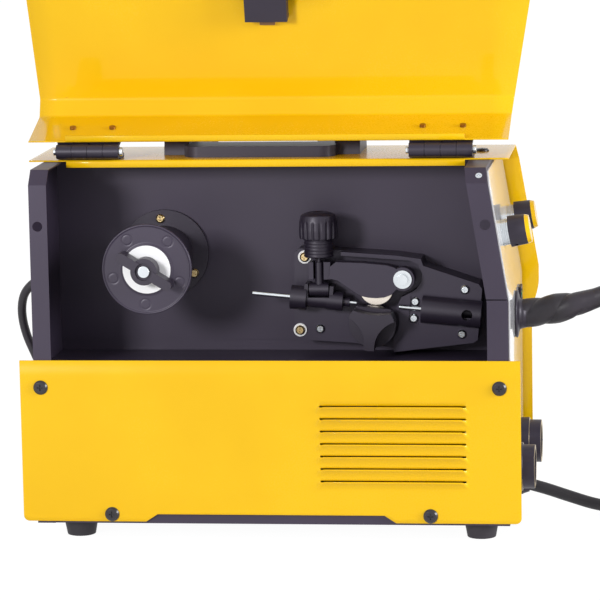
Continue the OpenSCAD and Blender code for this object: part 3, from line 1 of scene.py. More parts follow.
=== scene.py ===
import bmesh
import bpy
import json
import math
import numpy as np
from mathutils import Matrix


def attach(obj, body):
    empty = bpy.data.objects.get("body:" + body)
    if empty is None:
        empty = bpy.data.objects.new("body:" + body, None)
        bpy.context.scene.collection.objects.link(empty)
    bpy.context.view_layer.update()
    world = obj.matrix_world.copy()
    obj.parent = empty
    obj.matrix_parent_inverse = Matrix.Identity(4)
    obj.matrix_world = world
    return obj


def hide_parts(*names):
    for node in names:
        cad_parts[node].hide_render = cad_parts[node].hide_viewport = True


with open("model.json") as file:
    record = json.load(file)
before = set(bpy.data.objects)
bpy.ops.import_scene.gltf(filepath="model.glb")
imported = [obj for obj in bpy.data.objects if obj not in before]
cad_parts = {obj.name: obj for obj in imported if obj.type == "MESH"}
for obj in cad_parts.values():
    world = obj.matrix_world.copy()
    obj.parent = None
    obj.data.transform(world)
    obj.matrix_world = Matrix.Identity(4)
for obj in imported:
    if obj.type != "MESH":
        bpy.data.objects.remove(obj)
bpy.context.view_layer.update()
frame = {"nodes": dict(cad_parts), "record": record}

# %% [markdown]
# # A wire welding machine with its side door open
# The machine is a box of bent sheet metal. Its lower side panel carries pressed louvers, its door
# stands open over the top, and the open compartment shows the spool hub and the wire feeder.
# The engineering model is loaded first as a fixed frame. Everything here is dressed on it: sheet
# pieces, cables and knobs are worked out again as smooth surfaces, and the rest gets its finish.
# All shapes below are written in millimetres, as a drawing of the machine would be, and become
# metres at the one place where a mesh is made.

MM = 0.001
nodes = frame["nodes"]

# %% [markdown]
# ## Camera
# A long lens from three metres away keeps the machine's edges nearly parallel, as in a catalogue.
# The camera could be aimed with a tracking constraint, but a fixed turn is exact: the three unit
# vectors of its right, up and backward directions are the columns of its rotation.

# %% Camera
yaw, pitch, roll = 0.120301402, 0.149176209, 0.0185379614
camera_place = np.array([369.14, -2914.31, 636.08])
sensor_width, focal_pixels, width_pixels = 36.0, 3383.245, 600.0
ahead = np.array([-math.sin(yaw) * math.cos(pitch), math.cos(yaw) * math.cos(pitch), -math.sin(pitch)])
level = np.array([math.cos(yaw), math.sin(yaw), 0.0])
below = np.cross(ahead, level)
right = level * math.cos(roll) + below * math.sin(roll)
down = -level * math.sin(roll) + below * math.cos(roll)
lens_data = bpy.data.cameras.new("long_lens")
lens_data.sensor_fit = "HORIZONTAL"
lens_data.sensor_width = sensor_width
lens_data.lens = focal_pixels * sensor_width / width_pixels
lens_data.clip_end = 80.0
camera = bpy.data.objects.new("camera", lens_data)
bpy.context.scene.collection.objects.link(camera)
turn = np.eye(4)
turn[:3, 0], turn[:3, 1], turn[:3, 2] = right, -down, -ahead
turn[:3, 3] = camera_place * MM
camera.matrix_world = Matrix(turn.tolist())
bpy.context.scene.camera = camera
print("camera: lens %.1f mm" % lens_data.lens)

# %% [markdown]
# ## Meshes from arrays
# Every new piece is a grid of points worked out by numpy, whole arrays at a time. Rows and columns
# of the grid are the two parameters of the surface, and the quads join neighbours. A piece could
# also be edited by hand, but a formula keeps each bend and groove where the drawing wants it.

# %% Mesh helpers
def quads(rows, columns, wrap=False, keep=None):
    """Corner numbers of the faces between neighbouring grid points. wrap joins the last column to
    the first. keep is a true/false grid of the faces that stay."""
    index = np.arange(rows * columns).reshape(rows, columns)
    if wrap:
        index = np.hstack([index, index[:, :1]])
    faces = np.stack([index[:-1, :-1], index[:-1, 1:], index[1:, 1:], index[1:, :-1]], -1)
    return faces.reshape(-1, 4) if keep is None else faces[keep]


def make_piece(name, points, faces, finish, body, nodes_replaced=(), outward=True, uv=None):
    """Makes a mesh object from points in millimetres. With outward, its doubles are merged and its
    normals turned outwards, which a closed form needs. An open sheet keeps the turn it was made with."""
    mesh = bpy.data.meshes.new(name)
    mesh.from_pydata((np.reshape(points, (-1, 3)) * MM).tolist(), [], [list(map(int, f)) for f in faces])
    if uv is not None:
        layer = mesh.uv_layers.new(name="along")
        corners = np.empty(len(mesh.loops), int)
        mesh.loops.foreach_get("vertex_index", corners)
        layer.data.foreach_set("uv", np.reshape(uv, (-1, 2))[corners].ravel())
    if outward:
        shape = bmesh.new()
        shape.from_mesh(mesh)
        bmesh.ops.remove_doubles(shape, verts=shape.verts, dist=1e-6)
        bmesh.ops.recalc_face_normals(shape, faces=shape.faces)
        shape.to_mesh(mesh)
        shape.free()
    mesh.shade_smooth()
    obj = bpy.data.objects.new(name, mesh)
    bpy.context.scene.collection.objects.link(obj)
    mesh.materials.append(finish.material)
    if nodes_replaced:
        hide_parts(*nodes_replaced)
    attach(obj, body)
    return obj


def closed_rings(points):
    """Faces of a stack of rings: side quads round each ring, and one face over each end."""
    rows, columns = points.shape[:2]
    sides = [list(f) for f in quads(rows, columns, wrap=True)]
    first = list(range(columns))
    last = [(rows - 1) * columns + k for k in range(columns)]
    return sides + [first[::-1], last]


def sharpen(obj, degrees):
    """Edges that bend more than this keep a crease in the shading."""
    shape = bmesh.new()
    shape.from_mesh(obj.data)
    for edge in shape.edges:
        edge.smooth = not (edge.is_manifold and edge.calc_face_angle(0.0) > math.radians(degrees))
    shape.to_mesh(obj.data)
    shape.free()
    return obj


def smoothstep(t):
    """0 below 0, 1 above 1, and 3t^2 - 2t^3 between."""
    t = np.clip(t, 0.0, 1.0)
    return t * t * (3.0 - 2.0 * t)


print("a grid of 2 by 3 points has", len(quads(2, 3)), "faces")

# %% [markdown]
# ## Shader arithmetic
# A material is a small network of nodes. Written by hand it soon hides its own idea, so a socket is
# wrapped in a class with operators: adding or multiplying two wires places the Math node for it.
# Any other node comes from one method that takes the node's type, its settings and its sockets.

# %% Wires and finishes
class Wire:
    """A socket that can be reckoned with. Each operator adds one Math node, also with a number first."""

    def __init__(self, finish, socket):
        self.finish, self.socket = finish, socket

    def math(self, operation, *values):
        return self.finish.node("ShaderNodeMath", {"operation": operation}, values)

    def __add__(self, other):
        return self.math("ADD", self, other)

    def __sub__(self, other):
        return self.math("SUBTRACT", self, other)

    def __rsub__(self, other):
        return self.math("SUBTRACT", other, self)

    def __mul__(self, other):
        return self.math("MULTIPLY", self, other)

    __radd__ = __add__
    __rmul__ = __mul__

    def between(self, low, high):
        """0 at low, 1 at high, and a smooth step between them."""
        return self.finish.node("ShaderNodeMapRange", {"interpolation_type": "SMOOTHSTEP"},
                                {"Value": self, "From Min": low, "From Max": high})


class Finish:
    """A material: its Principled shader and the nodes that feed it."""

    def __init__(self, slot, **constants):
        self.slot = slot
        self.material = bpy.data.materials.new(slot)
        self.material.use_nodes = True
        self.tree = self.material.node_tree
        self.shader = self.tree.nodes["Principled BSDF"]
        for name, value in constants.items():
            socket = name.replace("_", " ").title().replace("Ior", "IOR")
            self.shader.inputs[socket].default_value = value
        self.place = self.node("ShaderNodeTexCoord", out="Object")

    def node(self, kind, settings={}, sockets={}, out=0):
        """Adds a node: first its settings, then the value or wire of each socket."""
        made = self.tree.nodes.new(kind)
        for name, value in settings.items():
            setattr(made, name, value)
        pairs = sockets.items() if isinstance(sockets, dict) else enumerate(sockets)
        for name, value in pairs:
            if isinstance(value, Wire):
                self.tree.links.new(value.socket, made.inputs[name])
            else:
                made.inputs[name].default_value = value
        return Wire(self, made.outputs[out])

    def noise(self, per_metre, detail=2.0, place=None):
        return self.node("ShaderNodeTexNoise", {}, {"Vector": place or self.place, "Scale": per_metre,
                                                    "Detail": detail})

    def mix(self, amount, first, second):
        """Blends two colours by an amount from 0 to 1."""
        return self.node("ShaderNodeMix", {"data_type": "RGBA"}, {0: amount, 6: first, 7: second}, out=2)

    def feed(self, **wires):
        for name, value in wires.items():
            self.tree.links.new(value.socket, self.shader.inputs[name.replace("_", " ").title()])
        return self

    def bump(self, height, depth_mm, strength=1.0):
        """Turns a height from 0 to 1 into a relief of this depth."""
        relief = {"Strength": strength, "Distance": depth_mm * MM, "Height": height}
        return self.feed(normal=self.node("ShaderNodeBump", {}, relief))


def tint(red, green, blue):
    """A colour as the screen shows it (0 to 255), turned to linear light."""
    value = np.array([red, green, blue]) / 255.0
    linear = np.where(value <= 0.04045, value / 12.92, ((value + 0.055) / 1.055) ** 2.4)
    return (*linear.tolist(), 1.0)


print("middle grey of the screen in linear light: %.3f" % tint(128, 128, 128)[0])

# %% [markdown]
# ## Paint and plastic
# The yellow is a smooth powder coat: glossy, a little wavy like orange skin, and slightly paler
# where the coat is thicker. The black sheets carry a finer and duller coat. Moulded black plastic
# shows a fine spark texture from its mould, and blacks take a faint violet sheen. Each could be one
# flat colour, but a coat is read by how its gloss breaks, so roughness and relief vary gently on the
# piece's own coordinates.

# %% Painted and moulded finishes
def powder_coat(slot, deep, pale, rough, grain_mm, relief_mm, **constants):
    """A coat whose colour drifts between two near tones over a hand's width, with a wavy relief."""
    coat = Finish(slot, **constants)
    drift = coat.noise(7.0, 3.0).between(0.3, 0.7)
    skin = coat.noise(1.0 / (grain_mm * MM), 2.0)
    coat.feed(base_color=coat.mix(drift, deep, pale), roughness=rough + 0.06 * skin + 0.03 * drift)
    return coat.bump(skin, relief_mm)


yellow = powder_coat("yellow_paint", tint(233, 183, 6), tint(239, 191, 15), 0.22, 1.6, 0.012,
                     coat_weight=0.5, coat_ior=1.33, coat_roughness=0.05, specular_ior_level=0.15)
violet_sheen = (0.93, 0.88, 1.0, 1.0)
faint_sheen = (0.94, 0.9, 1.0, 1.0)
black_sheet = powder_coat("black_paint", tint(42, 35, 50), tint(51, 43, 60), 0.41, 0.5, 0.015,
                          specular_tint=violet_sheen)
white_gloss = powder_coat("white_panel", tint(236, 236, 238), tint(242, 242, 244), 0.08, 3.0, 0.004,
                          coat_weight=0.6)
moulded = powder_coat("black_plastic", tint(33, 28, 39), tint(40, 34, 47), 0.38, 0.35, 0.03,
                      specular_tint=faint_sheen)
housing = powder_coat("feeder_plastic", tint(43, 37, 51), tint(51, 44, 60), 0.36, 0.3, 0.025,
                      specular_tint=faint_sheen)
black_zinc = powder_coat("black_plastic", tint(22, 18, 25), tint(32, 27, 36), 0.28, 0.5, 0.01,
                         coat_weight=0.15)
white_moulded = powder_coat("white_plastic", tint(240, 240, 242), tint(246, 246, 248), 0.35, 0.6, 0.01)
green = powder_coat("green_plastic", tint(0, 132, 96), tint(6, 150, 112), 0.18, 0.8, 0.008,
                    coat_weight=0.3)
brown = powder_coat("brown_plastic", tint(108, 74, 38), tint(124, 88, 48), 0.34, 0.5, 0.02)
rubber = powder_coat("rubber", tint(34, 30, 37), tint(42, 37, 45), 0.56, 0.4, 0.04)
core_steel = powder_coat("core", tint(70, 62, 58), tint(88, 80, 74), 0.55, 0.9, 0.05)
board_resin = powder_coat("board", tint(22, 82, 50), tint(30, 98, 60), 0.3, 1.4, 0.02)
print("coats and plastics made")

# %% [markdown]
# ## Metal
# Zinc-plated screws, ground rollers, brass and aluminium are bare metal. On a bare part the eye
# looks for the marks of its making, so each is brushed by a stretched noise that breaks up its gloss.

# %% Metal finishes
def bare_metal(slot, dark, light, rough, scratch_per_metre, stretch):
    """A metal with fine marks along one direction: noise squeezed along that axis feeds its gloss."""
    metal = Finish(slot, metallic=1.0)
    squeezed = metal.node("ShaderNodeMapping", {}, {"Vector": metal.place, "Scale": stretch})
    marks = metal.noise(scratch_per_metre, 4.0, squeezed)
    cloud = metal.noise(60.0, 2.0)
    metal.feed(base_color=metal.mix(cloud, dark, light), roughness=rough + 0.14 * marks)
    return metal.bump(marks, 0.01)


zinc = bare_metal("zinc", tint(196, 202, 208), tint(226, 230, 234), 0.18, 700.0, (1.0, 1.0, 3.0))
ground_steel = bare_metal("roll_steel", tint(214, 204, 192), tint(236, 228, 218), 0.22, 900.0,
                          (1.0, 6.0, 1.0))
brass = bare_metal("brass", tint(196, 172, 124), tint(222, 200, 154), 0.24, 600.0, (4.0, 1.0, 1.0))
aluminium = bare_metal("aluminium", tint(176, 178, 182), tint(200, 202, 206), 0.32, 500.0, (0.3, 4.0, 4.0))
bronze = bare_metal("brass", tint(128, 92, 44), tint(160, 120, 66), 0.30, 600.0, (4.0, 1.0, 1.0))
copper = bare_metal("core", tint(168, 96, 52), tint(196, 122, 70), 0.34, 300.0, (1.0, 1.0, 9.0))
print("metals made")

# %% [markdown]
# ## Cable sheath
# Cables have a soft sheath with a faint lengthwise drawing from the die. The tubes carry a map of
# their own, turn along one axis and length along the other, so the marks follow every bend.

# %% Sheath finish
def sheath(slot, deep, pale, rough):
    """Rubber sheath: fine lines along the cable from the turn coordinate, dust from slow noise."""
    skin = Finish(slot)
    along = skin.node("ShaderNodeUVMap", {"uv_map": "along"})
    drawn = skin.node("ShaderNodeMapping", {}, {"Vector": along, "Scale": (60.0, 4.0, 1.0)})
    lines = skin.noise(1.0, 2.0, drawn)
    dust = skin.noise(26.0, 3.0).between(0.4, 0.75)
    skin.feed(base_color=skin.mix(dust, deep, pale), roughness=rough + 0.1 * lines)
    return skin.bump(lines, 0.05, 0.6)


cable_rubber = sheath("cable_rubber", tint(32, 28, 35), tint(44, 39, 48), 0.42)
boot_rubber = sheath("cable_rubber", tint(30, 25, 33), tint(39, 33, 43), 0.34)
print("sheaths made")

# %% [markdown]
# ## Cords
# Three leads leave the machine: the torch hose at the front, the earth cable below it and the mains
# cable at the rear. Each is drawn at its full length. What is not needed lies beside the machine in a
# neat round coil of two turns side by side and three on top of each other, and ends in its torch,
# clamp or plug. A cord could be simulated, but a smooth curve through the route's points, followed by
# the coil's formula, gives the same length each time.

# %% Paths of the cords
def smooth_path(points, per_span=6):
    """Catmull-Rom curve: between two points the position is a cubic of the four nearest points."""
    p = np.asarray(points, float)
    p = np.vstack([2 * p[0] - p[1], p, 2 * p[-1] - p[-2]])
    t = np.linspace(0.0, 1.0, per_span, endpoint=False)[None, :, None]
    a, b, c, d = p[:-3, None], p[1:-2, None], p[2:-1, None], p[3:, None]
    curve = 0.5 * (2 * b + (c - a) * t + (2 * a - 5 * b + 4 * c - d) * t ** 2
                   + (3 * b - 3 * c + d - a) * t ** 3)
    return np.vstack([curve.reshape(-1, 3), p[-2]])


# In degrees: between points, the end of the first step, and how wide a step outwards or upwards is.
degrees_per_point, first_step_end, outward_step, upward_step = 9.0, 335.0, 90.0, 66.0
map_per_metre = 10


def coil_path(centre, ring, thick, seats, start, stop):
    """A cord laid in seats, each a (column, layer) of the coil. Radius and height are constant in a
    seat and pass to the next by a smooth step, and each step lies earlier than the one before, so
    that no two turns meet. start is the first angle, stop the whole angle wound, both in degrees."""
    turn = np.append(np.arange(0.0, stop, degrees_per_point), stop)
    radius = [ring + (0.5 if column else -0.5) * thick for column, layer in seats]
    height = [(layer - 0.5) * thick for column, layer in seats]
    r, z, end = np.full_like(turn, radius[0]), np.full_like(turn, height[0]), first_step_end
    for k in range(1, len(seats)):
        wide = outward_step if radius[k] != radius[k - 1] else upward_step
        step = smoothstep((turn - (end - wide)) / wide)
        r = r + (radius[k] - radius[k - 1]) * step
        z = z + (height[k] - height[k - 1]) * step
        end = end - wide + 360.0
    angle = np.radians(start - turn)
    return np.stack([centre[0] + r * np.cos(angle), centre[1] + r * np.sin(angle), z], -1)


def travelled(path):
    """Distance along the path from its start to each of its points."""
    return np.concatenate([[0.0], np.cumsum(np.linalg.norm(np.diff(path, axis=0), axis=1))])


def lying(start, coil, first, span):
    """0 on the dropping stretch and 1 where the cord lies, with a smooth step of span points that
    begins at the first of them."""
    return np.concatenate([smoothstep((np.arange(len(start) - 1) - first) / span), np.ones(len(coil))])


def ring_frames(path, flat):
    """Two unit vectors across the path at each point. flat, from 0 to 1, turns the guide from the Y
    axis, for a stretch that drops, to the Z axis, for one that lies on the ground."""
    along = np.gradient(path, axis=0)
    along /= np.linalg.norm(along, axis=1)[:, None]
    guide = np.stack([0 * flat, 1.0 - flat, flat], -1)
    side = np.cross(along, guide)
    side /= np.linalg.norm(side, axis=1)[:, None]
    return side, np.cross(side, along)


def tube(name, path, radius, finish, body, flat, sides=20, nodes_replaced=()):
    """A round tube: each point is the path plus the radius times the cosine and sine of the two
    vectors across it. radius may be one number or a grid of path by turn."""
    side, rise = ring_frames(path, flat)
    turn = np.linspace(0.0, 2 * np.pi, sides, endpoint=False)
    grid = np.broadcast_to(np.asarray(radius, float), (len(path), sides))[..., None]
    cosine, sine = np.cos(turn)[None, :, None], np.sin(turn)[None, :, None]
    points = path[:, None] + grid * (cosine * side[:, None] + sine * rise[:, None])
    along_map = travelled(path)[:, None] * MM * map_per_metre
    uv = np.stack(np.broadcast_arrays(turn[None, :] / (2 * np.pi), along_map), -1)
    return make_piece(name, points, closed_rings(points), finish, body, nodes_replaced, uv=uv)


print("a turn of a coil has", int(360 / degrees_per_point), "points")

# %% Torch hose
hose_d, earth_d, mains_d = 14.5, 10.5, 8.0
# Seats of a coil, as (column, layer): one order starts on the floor, the other on top.
from_floor = [(1, 1), (0, 1), (0, 2), (1, 2), (1, 3), (0, 3)]
from_above = [(1, 3), (1, 2), (1, 1), (0, 1), (0, 2), (0, 3)]
boot_route = [[208, -8, 184], [224, -8, 185.5], [240, -8, 188.3], [258, -8, 192.3], [276, -8, 197.8],
              [292, -8, 203.9], [306, -8, 209.3]]
hose_route = [[306, -8, 209.3], [330, -7.5, 215], [356, -5, 213.5], [383, 0, 203], [407, 8, 182],
              [424, 15.5, 154.5], [432, 22.5, 124], [432, 28, 93], [423, 31.3, 66], [402, 32.6, 46],
              [372, 32.75, 36.25]]
hose_start = smooth_path(hose_route)
hose_coil = coil_path((372, 115), 75, hose_d, from_above, -90, 1609.8)
hose_path = np.vstack([hose_start[:-1], hose_coil])
hose = tube("torch_hose_line", hose_path, hose_d / 2, cable_rubber, "cabinet",
            lying(hose_start, hose_coil, 40, 18.0), nodes_replaced=["torch_hose", "torch_coil"])

# %% Earth cable
earth_route = [[216, 15, 28.5], [232, 15, 24], [252, 17, 17], [272, 19, 10.5], [292, 20, 6.8],
               [311, 19.8, 5.5], [330, 19.6, 5.3], [350, 19.55, 5.25]]
earth_start = smooth_path(earth_route)
earth_coil = coil_path((350, -38.7), 53, earth_d, from_floor, 90, 1659.0)
earth_path = np.vstack([earth_start[:-1], earth_coil])
earth = tube("earth_cable_line", earth_path, earth_d / 2, cable_rubber, "cabinet", np.ones(len(earth_path)),
             nodes_replaced=["earth_cable", "earth_coil"])

# %% Mains cable
mains_route = [[-223, 82, 203], [-235, 82.5, 199.5], [-245, 86, 190], [-250, 92, 178], [-251, 97, 163],
               [-248, 101, 146], [-241, 104, 127], [-233, 106, 106], [-227, 107, 84], [-223, 108, 62],
               [-220, 109, 40], [-215, 112, 21], [-205, 118, 9], [-193, 127, 4.6], [-181, 137, 4.1],
               [-171.5, 147, 4.0], [-165.9, 157.1, 4.0]]
mains_start = smooth_path(mains_route)
mains_coil = coil_path((-120, 154.5), 42, mains_d, from_floor, 176.8, 1636.8)
mains_path = np.vstack([mains_start[:-1], mains_coil])
mains = tube("mains_cable_line", mains_path, mains_d / 2, cable_rubber, "cabinet",
             lying(mains_start, mains_coil, 62, 20.0), nodes_replaced=["mains_cable", "mains_coil"])

# %% [markdown]
# ## Torch boot
# The boot over the hose is a soft sleeve with two broad grooves winding round it, which let it bend
# without a kink. It could be two swept bands, but one tube with a lobed, turning section is closed
# and simpler: the radius falls in a narrow valley, and the valley turns once in about 54 mm. Past
# the grooves the sleeve thins to a snug cuff on the hose.

# %% Torch boot
boot_line = smooth_path(boot_route, 26)
boot_run = travelled(boot_line)
boot_size = np.interp(boot_line[:, 0], [208, 224, 242, 254, 264, 276, 292, 306],
                      [12.2, 12.9, 13.0, 11.9, 9.9, 8.7, 8.5, 8.3])
boot_sides, groove_pitch, groove_phase, groove_share = 120, 54.0, 0.9, 0.16
boot_turn = np.linspace(0.0, 2 * np.pi, boot_sides, endpoint=False)
ridge = np.abs(np.cos(boot_turn[None, :] - 2 * np.pi * boot_run[:, None] / groove_pitch + groove_phase))
rising = smoothstep((boot_run[:, None] - 3.0) / 8.0)
fading = 1.0 - smoothstep((boot_run[:, None] - 50.0) / 12.0)
groove_depth = groove_share * rising * fading
boot_radius = boot_size[:, None] * (1.0 - groove_depth * (1.0 - ridge ** 0.6))
boot = tube("torch_boot_sleeve", boot_line, boot_radius, boot_rubber, "cabinet", np.zeros(len(boot_line)),
            boot_sides, ["torch_boot"])
print("boot: %.0f mm long" % boot_run[-1])

# %% [markdown]
# ### Flange of the boot
# The boot meets the front panel with a round flange and a cone. Such a form could be spun from a
# curve with a Screw modifier. Here its profile is turned by the formula of a lathe, and three axis
# vectors carry it to its place, because the knob and the hub's disc below are made the same way.

# %% Turned forms
def lathe(profile, sides=64):
    """Turns a profile of (radius, height) round the height axis: x and y are the radius times the
    cosine and sine of the turn."""
    profile = np.asarray(profile, float)
    turn = np.linspace(0.0, 2 * np.pi, sides, endpoint=False)
    return np.stack([profile[:, :1] * np.cos(turn), profile[:, :1] * np.sin(turn),
                     np.broadcast_to(profile[:, 1:], (len(profile), sides))], -1)


def framed(points, origin, x, y, z):
    """Points given in a piece's own frame, carried to the machine's frame: the origin plus each
    coordinate times its axis."""
    across = points[..., :1] * np.array(x) + points[..., 1:2] * np.array(y)
    return np.asarray(origin, float) + across + points[..., 2:] * np.array(z)


flange_profile = [(0.5, -18), (10.4, -18), (10.4, -1.2), (20.2, -1.2), (20.9, -0.5), (20.6, 0.3), (17.6, 1.2),
                  (14.8, 1.8), (13.3, 2.8), (12.6, 5.0), (12.0, 8.0), (0.5, 8.0)]
boot_flange = framed(lathe(flange_profile), boot_route[0], (0, 1, 0), (0, 0, 1), (1, 0, 0))
make_piece("torch_boot_flange", boot_flange, closed_rings(boot_flange), moulded, "cabinet", ["torch_boot"])
print("boot flange: %.1f mm across" % (2 * max(radius for radius, height in flange_profile)))

# %% [markdown]
# ## Yellow sheets
# The outer cover, the lower side panel and the door are bent from 1.2 mm sheet. A press brake leaves
# a bend of a few millimetres' radius, and that soft bend is what catches the light along each fold.
# The sheet's section is a line with round corners, carried along the machine. Each row of the grid
# ends on the side outline, which swells to a nose at half height. Solidify gives it its thickness.

# %% Side outline and section
# Half the width, the heights of the top, the lowest edge and the seam under the door, and the sheet.
side_y, top_z, low_z, seam_z, sheet_mm, bend_mm = 99.0, 322.0, 17.0, 157.5, 1.2, 2.6
# The side outline: half the length below the nose, where the nose begins and ends, and its reach.
half_length, nose_z, nose_rise, nose_top = 215, 174.0, 26.0, 212
hood_reach, hood_slope, tail_reach, tail_slope = 6.5, math.tan(math.radians(9.8)), 6.0, 0.045


def nose(z):
    """0 below the nose, a quarter sine up to 1 at its full reach."""
    return np.sin(np.pi / 2 * np.clip((z - nose_z) / nose_rise, 0.0, 1.0))


def hood_x(z):
    """Front outline: out with the nose, then back along the leaning edge."""
    leaning = half_length + hood_reach - (z - nose_top) * hood_slope
    return np.where(z <= nose_top, half_length + hood_reach * nose(z), leaning)


def tail_x(z):
    """Rear outline: the same with a smaller nose and almost upright."""
    leaning = -half_length - tail_reach + (z - nose_top) * tail_slope
    return np.where(z <= nose_top, -half_length - tail_reach * nose(z), leaning)


def bent_line(corners, radius, steps=7):
    """A line through the corners, each corner cut by a round bend of this radius (a quadratic
    curve that leaves and meets the straight parts along them)."""
    corners = np.asarray(corners, float)
    line = [corners[:1]]
    for before, here, after in zip(corners[:-2], corners[1:-1], corners[2:]):
        a = here + radius * (before - here) / np.linalg.norm(before - here)
        b = here + radius * (after - here) / np.linalg.norm(after - here)
        t = np.linspace(0.0, 1.0, steps)[:, None]
        line.append((1 - t) ** 2 * a + 2 * t * (1 - t) * here + t ** 2 * b)
    line.append(corners[-1:])
    return np.vstack(line)


def sheet_points(section, columns):
    """Grid of a bent sheet: rows follow the section (y, z), columns follow X. The first and last
    columns lie on the side outline at the row's own height."""
    y, z = section[:, 0], section[:, 1]
    x = np.repeat(np.asarray(columns, float)[None], len(z), 0)
    x[:, 0], x[:, -1] = tail_x(z), hood_x(z)
    return np.stack([x, np.repeat(y[:, None], x.shape[1], 1), np.repeat(z[:, None], x.shape[1], 1)], -1)


def grid_lines(*parts):
    """Rows or columns of a grid: all the given values in order, each of them once."""
    return np.unique(np.round(np.concatenate(parts), 3))


def face_middles(points):
    """X, y and z of each face's middle, which is the mean of two opposite corners."""
    return np.moveaxis((points[:-1, :-1] + points[1:, 1:]) / 2, -1, 0)


def thicken(obj, edge=0.25):
    """Gives an open sheet its thickness on the inside, and takes the sharpness off its cut edges."""
    solid = obj.modifiers.new("sheet", "SOLIDIFY")
    solid.thickness, solid.offset, solid.use_even_offset = sheet_mm * MM, -1.0, True
    round_over = obj.modifiers.new("edges", "BEVEL")
    round_over.width, round_over.segments, round_over.limit_method = edge * MM, 1, "ANGLE"
    round_over.angle_limit = math.radians(50)


print("front edge at the nose: x = %.1f mm" % float(hood_x(nose_top)))

# %% [markdown]
# ### Louvers
# Seven louvers are lanced and pressed outwards in the lower side panel, open along their upper edge.
# A louver is a height over the flat sheet: it rises from its lower edge, steepest near the slit, and
# its ends are slanted flanks, so that it is wider at its foot than at its mouth. The faces across
# each slit are left out of the grid.

# %% Louvers
louver_count, highest_top, louver_pitch = 7, 118.8, 10.83
louver_tops = highest_top - louver_pitch * np.arange(louver_count)
louver_x, louver_half, mouth_half, louver_h, louver_reach, slit = 106.0, 68.0, 62.5, 8.8, 3.15, 1.15
flank_mm, rise_power, flank_power, tiny = 3.0, 1.9, 0.8, 0.01


def louver_rows():
    """Heights of the rows that the louvers need: eleven up each louver, and its upper edge."""
    rise = np.linspace(0.0, 1.0, 11)
    rows = (louver_tops[:, None] - louver_h + (louver_h - slit) * rise[None, :]).ravel()
    return np.concatenate([rows, louver_tops])


def louver_columns():
    """Columns close together on the slanted ends, and wide apart between them."""
    side = mouth_half + np.linspace(-flank_mm, louver_half - mouth_half, 18)
    return np.concatenate([louver_x - side[::-1], [louver_x - 30, louver_x, louver_x + 30], louver_x + side])


def press_louvers(points, outward):
    """Lifts the sheet along outward (+1 or -1 in Y) and returns the faces that stay. The lift is the
    reach times a power of the height over the louver's foot, times a power of the nearness to its end."""
    x, z = points[..., 0], points[..., 2]
    above = z[..., None] - (louver_tops - louver_h)
    within = (above <= louver_h - slit + tiny) & (above > -tiny)
    rise = (np.clip(above / (louver_h - slit), 0.0, 1.0) * within).max(-1)
    away = np.abs(x - louver_x)
    side = louver_half + (mouth_half - louver_half) * rise - away
    flank = np.clip(side / flank_mm, 0.0, 1.0) ** flank_power
    points[..., 1] += outward * louver_reach * rise ** rise_power * flank
    top = (np.abs(z[..., None] - louver_tops) < tiny).any(-1)
    upper, lower = top[:-1] | top[1:], np.maximum(rise[:-1], rise[1:]) > 0.98
    inside = np.maximum(away[:-1, :-1], away[:-1, 1:]) < mouth_half + tiny
    return ~((upper & lower)[:, :-1] & inside)


print("louver grid:", len(louver_rows()), "rows,", len(louver_columns()), "columns")

# %% Lower side panel
cut_half, cut_slant, cut_rise, corner_start, corner_r, skirt_z = 108.0, 10.0, 6.5, 210.0, 5.0, 30.0


def skirt(points):
    """Bends the lowest rows to the cut lower edge: a shallow trapezoid in the middle, and corners of
    5 mm radius at both ends."""
    x, z = np.abs(points[..., 0]), points[..., 2]
    low = low_z + cut_rise * np.clip((cut_half - x) / cut_slant, 0.0, 1.0)
    square = corner_r ** 2 - np.clip(x - corner_start, 0.0, corner_r) ** 2
    low += corner_r - np.sqrt(np.clip(square, 0.0, corner_r ** 2))
    points[..., 2] = np.where(z < skirt_z, low + (z - low_z) * (skirt_z - low) / (skirt_z - low_z), z)
    return points


corner_x = corner_start + corner_r * np.sin(np.linspace(0, np.pi / 2, 7))
cut_x, skirt_rows = [-108, -103, -98, 98, 103, 108], [17, 21, 25, 30, 38]
panel_x = grid_lines(-corner_x, [-160, -50, 0, 190], cut_x, louver_columns(), corner_x)
panel_z = grid_lines(skirt_rows, louver_rows(), [124, 140, seam_z])
panel = sheet_points(np.stack([np.full_like(panel_z, -side_y), panel_z], -1), panel_x)
stay = press_louvers(panel, -1.0)
panel_faces = quads(*panel.shape[:2], keep=stay)
lower_panel = make_piece("lower_side_sheet", skirt(panel), panel_faces, yellow, "cabinet",
                         ["lower_side_panel"], outward=False)
thicken(lower_panel)
sharpen(lower_panel, 32)
print("lower panel:", len(lower_panel.data.polygons), "faces")

# %% [markdown]
# ### Door
# The door hangs on two hinges and stands open past the top. It is drawn closed, where its sizes are
# easy to read, and then turned 163 degrees about the hinge line, so both walls keep true bends.

# %% Door
hinge_y, hinge_z, door_angle = -26.6, 329.4, math.radians(-163.0)


def opened(points):
    """Turns points about the hinge line, which runs along X."""
    y, z = points[..., 1] - hinge_y, points[..., 2] - hinge_z
    return np.stack([points[..., 0], hinge_y + y * math.cos(door_angle) - z * math.sin(door_angle),
                     hinge_z + y * math.sin(door_angle) + z * math.cos(door_angle)], -1)


